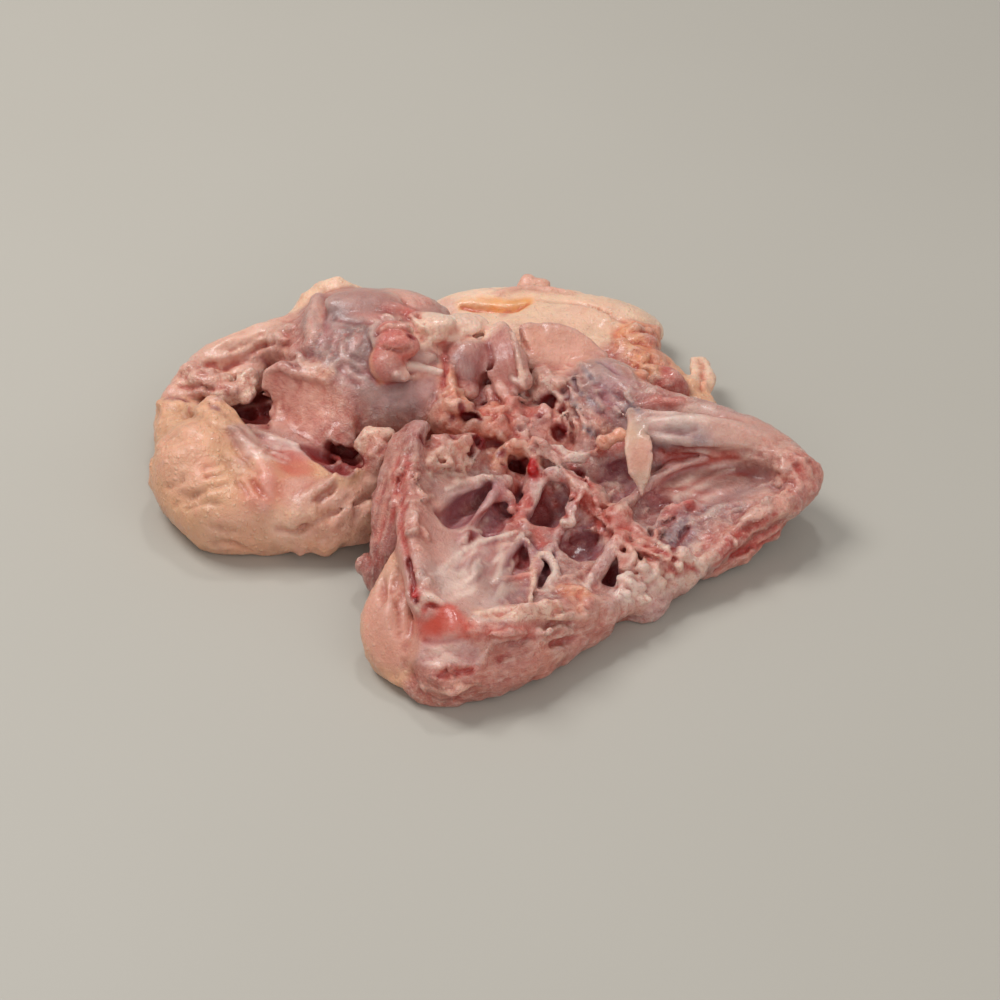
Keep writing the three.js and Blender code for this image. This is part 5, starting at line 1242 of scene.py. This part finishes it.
def shaded(body, colour, texture):
    """Painted shade in creases, darker and redder; painted light on crests, paler; with blotches of warmer and cooler
    flesh.
    """
    p = body.points
    fine, broad = body.relief(2), body.relief(12)
    patchy = (1 - 0.75 * calm(p))[:, None]
    bare = (1 - 0.8 * texture[:, 0])[:, None]
    film = texture[:, 2:3]
    pallor = np.clip(colour[:, 1:2] / 0.08 - 0.25, 0, 1)
    flush = np.clip(noise(p, 5, 35) + 0.7 * noise(p, 2.2, 36) - 0.15, 0, 1)[:, None] * bare * patchy * pallor
    colour = colour + 0.5 * flush * (vec((0.52, 0.10, 0.07)) - colour)
    blanch = np.clip(noise(p, 4, 37) + 0.8 * noise(p, 1.7, 38) - 0.2, 0, 1)[:, None] * bare * patchy * pallor
    colour = colour + 0.3 * blanch * (vec((0.76, 0.50, 0.40)) - colour)
    # Painted shade: creases, measured from the relief, turn darker and redder. Painted light: crests turn paler.
    crease_shade = (np.clip(-fine / 0.15, 0, 1) * 0.5 + np.clip(-broad / 0.8, 0, 1) * 0.5)[:, None]
    crest_light = (np.clip(fine / 0.2, 0, 1) * 0.22 + np.clip(broad / 1.2, 0, 1) * 0.15)[:, None]
    colour_left_in_shade = vec((0.70, 0.26, 0.24)) + film * vec((0.03, 0.20, 0.24))
    colour = colour * (1 - crease_shade * bare * (1 - colour_left_in_shade) - 0.25 * crease_shade * (1 - bare))
    colour = colour + crest_light * bare * pallor * (vec((0.84, 0.62, 0.52)) - colour)
    warm = noise(p, 11, 31)[:, None] * 0.5 + noise(p, 4, 32)[:, None] * 0.4 * patchy
    colour = colour * (1 + warm * vec((0.07, -0.02, -0.10)))
    shift = 0.08 * noise(p, 6, 33)[:, None] + 0.06 * noise(p, 1.6, 34)[:, None] * patchy
    return np.hstack([np.clip(colour * (1 + shift), 0.001, 0.95), patchy])


def build_mesh(clay):
    body, colour, texture, fibre = dressed(clay)
    # The vertex colour holds painted shade in creases and painted light on crests.
    colour = shaded(body, colour, texture)
    place = (body.points - vec((MIDDLE[0], MIDDLE[1], 0))) * MM
    mesh = bpy.data.meshes.new("raw_meat")
    mesh.from_pydata(place.tolist(), [], body.quads.tolist())
    mesh.update()
    tissue = mesh.attributes.new("tissue", "FLOAT_COLOR", "POINT")
    tissue.data.foreach_set("color", colour.astype(np.float32).ravel())
    kinds = mesh.attributes.new("texture", "FLOAT_COLOR", "POINT")
    kinds.data.foreach_set("color", texture.astype(np.float32).ravel())
    way = mesh.attributes.new("fibre", "FLOAT_VECTOR", "POINT")
    way.data.foreach_set("vector", fibre.astype(np.float32).ravel())
    piece = bpy.data.objects.new("raw_meat", mesh)
    bpy.context.scene.collection.objects.link(piece)
    most = MOST_TRIANGLES / (2 * len(body.quads))
    if most < 1:
        thin = piece.modifiers.new("thin", "DECIMATE")
        thin.ratio = most
        graph = bpy.context.evaluated_depsgraph_get()
        thinned = bpy.data.meshes.new_from_object(piece.evaluated_get(graph))
        piece.modifiers.clear()
        piece.data = thinned
    piece.data.polygons.foreach_set("use_smooth", [True] * len(piece.data.polygons))
    return piece


# Materials

class Value:
    """A shader socket that can be used in arithmetic; each operation adds a Math node."""

    def __init__(self, shader, socket):
        self.shader, self.socket = shader, socket

    def math(self, operation, first, second):
        return self.shader.node("Math", {"operation": operation}, {0: first, 1: second})[0]

    def __add__(self, other):
        return self.math("ADD", self, other)

    def __sub__(self, other):
        return self.math("SUBTRACT", self, other)

    def __rsub__(self, other):
        return self.math("SUBTRACT", other, self)

    def __mul__(self, other):
        return self.math("MULTIPLY", self, other)

    def __truediv__(self, other):
        return self.math("DIVIDE", self, other)

    __radd__ = __add__
    __rmul__ = __mul__


class Shader:
    """Builds one material's node tree."""

    def __init__(self, name):
        self.material = bpy.data.materials.new(name)
        self.material.use_nodes = True
        self.tree = self.material.node_tree
        self.tree.nodes.clear()

    def node(self, kind, settings, inputs):
        """Adds a node, sets its settings, then its inputs, and gives its outputs."""
        made = self.tree.nodes.new("ShaderNode" + kind)
        for name, value in settings.items():
            setattr(made, name, value)
        for name, value in inputs.items():
            if isinstance(value, Value):
                self.tree.links.new(value.socket, made.inputs[name])
            else:
                made.inputs[name].default_value = value
        return Outputs(self, made)

    def noise(self, where, size, detail=2.0, roughness=0.5, swirl=0.0):
        """Noise from 0 to 1 with features of about that size in millimetres."""
        return self.node("TexNoise", {}, {"Vector": where, "Scale": 1 / size, "Detail": detail,
                                          "Roughness": roughness, "Distortion": swirl})["Fac"]

    def cells(self, where, size, smooth=0.4):
        """Rounded cells of about that size in millimetres, 0 in the middle of each."""
        return self.node("TexVoronoi", {"feature": "SMOOTH_F1"},
                         {"Vector": where, "Scale": 1 / size, "Smoothness": smooth})["Distance"]

    def between(self, value, low, high):
        """0 where the value is at or under low, 1 at or over high, smooth in between."""
        return self.node("MapRange", {"interpolation_type": "SMOOTHSTEP"},
                         {"Value": value, "From Min": low, "From Max": high})["Result"]

    def mix(self, share, first, second, blend="MIX"):
        made = self.node("Mix", {"data_type": "RGBA", "blend_type": blend}, {0: share, 6: first, 7: second})
        return made[2]

    def vector(self, operation, first, second):
        made = self.node("VectorMath", {"operation": operation}, {0: first, 1: second})
        return made["Value" if operation == "DOT_PRODUCT" else "Vector"]

    def scaled(self, where, factor):
        return self.node("VectorMath", {"operation": "SCALE"}, {0: where, "Scale": factor})["Vector"]

    def finish(self, bump, settings):
        """The flesh's own shader and output."""
        normal = self.node("Bump", {}, {"Height": bump, "Strength": 1.0, "Distance": MM})["Normal"]
        surface_node = self.node("BsdfPrincipled", {"subsurface_method": "RANDOM_WALK"},
                                 {"Normal": normal, **settings})
        self.node("OutputMaterial", {}, {"Surface": surface_node["BSDF"]})
        return self.material


class Outputs:
    """A node's outputs, by name or number."""

    def __init__(self, shader, made):
        self.shader, self.made = shader, made

    def __getitem__(self, name):
        return Value(self.shader, self.made.outputs[name])


def wet_flesh():
    """Skin, fat, film and muscle in one material, shared out by the mesh's attributes."""
    s = Shader("wet_flesh")
    # The tissue colour carries the painted shade of creases and the painted light of crests.
    tissue = s.node("Attribute", {"attribute_name": "tissue"}, {})
    base, patchy = tissue["Color"], tissue["Alpha"]
    split_base = s.node("SeparateColor", {}, {"Color": base})
    kinds = s.node("Attribute", {"attribute_name": "texture"}, {})
    split = s.node("SeparateColor", {}, {"Color": kinds["Color"]})
    skin, fat, film, muscle = split["Red"], split["Green"], split["Blue"], kinds["Alpha"]
    fibre = s.node("Attribute", {"attribute_name": "fibre"}, {})["Vector"]
    where = s.scaled(s.node("TexCoord", {}, {})["Object"], 1 / MM)
    bent = s.vector("ADD", where, s.scaled(s.node("TexNoise", {}, {"Vector": where, "Scale": 0.3})["Color"], 2.0))
    along = s.vector("DOT_PRODUCT", bent, fibre)
    streaks = s.vector("SUBTRACT", bent, s.scaled(fibre, along * 0.92))

    strand = s.noise(streaks, 0.8, 3.0)
    bundle = s.noise(streaks, 2.2, 1.0)
    lobule = s.cells(where, 1.6)
    pore = s.cells(bent, 1.9, 0.1)
    veil = s.noise(bent, 2.2, 6.0, 0.62, 0.8)
    crumple = s.noise(bent, 1.5, 3.0, 0.55, 1.6)
    grain = s.noise(where, 0.5, 2.0)
    blotch = s.noise(where, 5.5, 3.0)
    fleck = s.noise(where, 1.2, 4.0, 0.6, 0.5)
    bare = 1 - skin * 0.8
    pallor = s.between(split_base["Green"], 0.02, 0.12)

    pale, red, dark = (0.84, 0.62, 0.53, 1), (0.46, 0.085, 0.06, 1), (0.30, 0.05, 0.042, 1)
    colour = s.mix(s.between(strand, 0.54, 0.72) * muscle * patchy * 0.4, base, pale)
    colour = s.mix(s.between(strand, 0.48, 0.30) * muscle * 0.5, colour, dark)
    colour = s.mix(s.between(bundle, 0.42, 0.3) * muscle * 0.3, colour, dark)
    colour = s.mix(s.between(veil, 0.54, 0.66) * film * pallor * patchy * 0.45, colour, pale)
    colour = s.mix(s.between(veil, 0.46, 0.34) * film * pallor * patchy * 0.5, colour, (0.30, 0.10, 0.10, 1))
    colour = s.mix(s.between(lobule, 0.35, 0.75) * fat * patchy * 0.45, colour, (0.60, 0.22, 0.15, 1))
    colour = s.mix(s.between(pore, 0.32, 0.12) * skin * 0.3, colour, (0.86, 0.60, 0.41, 1))
    colour = s.mix(s.between(blotch, 0.50, 0.70) * skin * 0.35, colour, (0.68, 0.31, 0.21, 1))
    mottled = bare * pallor * patchy
    colour = s.mix(s.between(crumple, 0.44, 0.34) * mottled * 0.45, colour, red)
    colour = s.mix(s.between(fleck, 0.58, 0.72) * mottled * 0.3, colour, (0.80, 0.54, 0.44, 1))
    colour = s.mix(s.between(fleck, 0.40, 0.28) * mottled * 0.35, colour, red)

    bump = strand * muscle * 0.4 + (1 - lobule) * fat * 0.4 + veil * film * 0.7
    bump = bump + (1 - s.between(pore, 0.05, 0.45)) * skin * 0.25 + s.noise(bent, 2.6, 4.0, 0.6) * skin * 0.6
    bump = bump + grain * 0.12 + (fleck * 0.35 + crumple * 0.5) * bare * patchy
    wet = s.between(s.noise(where, 3.5, 2.0), 0.38, 0.62)
    roughness = 0.42 - wet * 0.14 - film * 0.06 + grain * 0.08
    return s.finish(bump, {
        "Base Color": colour, "Roughness": roughness, "IOR": 1.4,
        "Subsurface Weight": 0.3, "Subsurface Radius": (1.0, 0.32, 0.18), "Subsurface Scale": 0.0022,
        "Coat Weight": (0.2 + wet * 0.4) * s.between(split_base["Red"], 0.12, 0.4) * (1 - skin * 0.5),
        "Coat Roughness": 0.16,
        "Coat IOR": 1.4})


def table_top():
    s = Shader("table_top")
    where = s.node("TexCoord", {}, {})["Object"]
    tone = s.mix(s.node("TexNoise", {}, {"Vector": where, "Scale": 6.0})["Fac"], (0.435, 0.405, 0.35, 1),
                 (0.46, 0.43, 0.375, 1))
    surface_node = s.node("BsdfPrincipled", {}, {"Base Color": tone, "Roughness": 0.55})
    s.node("OutputMaterial", {}, {"Surface": surface_node["BSDF"]})
    return s.material


# The studio

def add_floor():
    half = 1.6
    mesh = bpy.data.meshes.new("floor")
    mesh.from_pydata([(-half, -half, 0), (half, -half, 0), (half, half, 0), (-half, half, 0)], [], [(0, 1, 2, 3)])
    floor = bpy.data.objects.new("floor", mesh)
    floor.location.z = -0.0002
    bpy.context.scene.collection.objects.link(floor)
    mesh.materials.append(table_top())


def in_part(point):
    """A clay point in millimetres as a point of the part, in metres."""
    return Vector(((point[0] - MIDDLE[0]) * MM, (point[1] - MIDDLE[1]) * MM, point[2] * MM))


def add_camera():
    camera = bpy.data.cameras.new("camera")
    camera.sensor_width = SENSOR_MM
    camera.lens = FOCAL_PIXELS / PHOTO_SIDE * SENSOR_MM
    camera.clip_start = 0.01
    holder = bpy.data.objects.new("camera", camera)
    holder.location = in_part(EYE)
    holder.rotation_euler = (math.pi / 2 - CAMERA_ELEVATION, 0, 0)
    bpy.context.scene.collection.objects.link(holder)
    bpy.context.scene.camera = holder


# Lamps: place in metres, watts, width in metres
LAMPS = {"window": ((-0.50, 0.30, 0.90), 6.8, 0.45), "fill": ((0.70, -0.50, 0.70), 2.0, 0.8),
         "front": ((0.0, -0.95, 0.42), 2.6, 0.8), "glint": ((0.10, 0.55, 0.95), 1.5, 0.12)}


def add_lamps():
    for name, (place, watts, width) in LAMPS.items():
        light = bpy.data.lights.new(name, "AREA")
        light.energy, light.size = watts, width
        lamp = bpy.data.objects.new(name, light)
        lamp.location = place
        lamp.rotation_euler = (-Vector(place)).to_track_quat("-Z", "Y").to_euler()
        bpy.context.scene.collection.objects.link(lamp)
    world = bpy.data.worlds.new("studio")
    world.use_nodes = True
    world.node_tree.nodes["Background"].inputs["Color"].default_value = (1, 1, 1, 1)
    world.node_tree.nodes["Background"].inputs["Strength"].default_value = 0.35
    bpy.context.scene.world = world
    bpy.context.scene.view_settings.view_transform = "Standard"


clay = Clay()
for form in MAIN_FORMS + SMALL_FORMS:
    form(clay)
roughen(clay)
meat = build_mesh(clay)
meat.data.materials.append(wet_flesh())
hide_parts("chicken_back")
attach(meat, "root")
add_floor()
add_camera()
add_lamps()
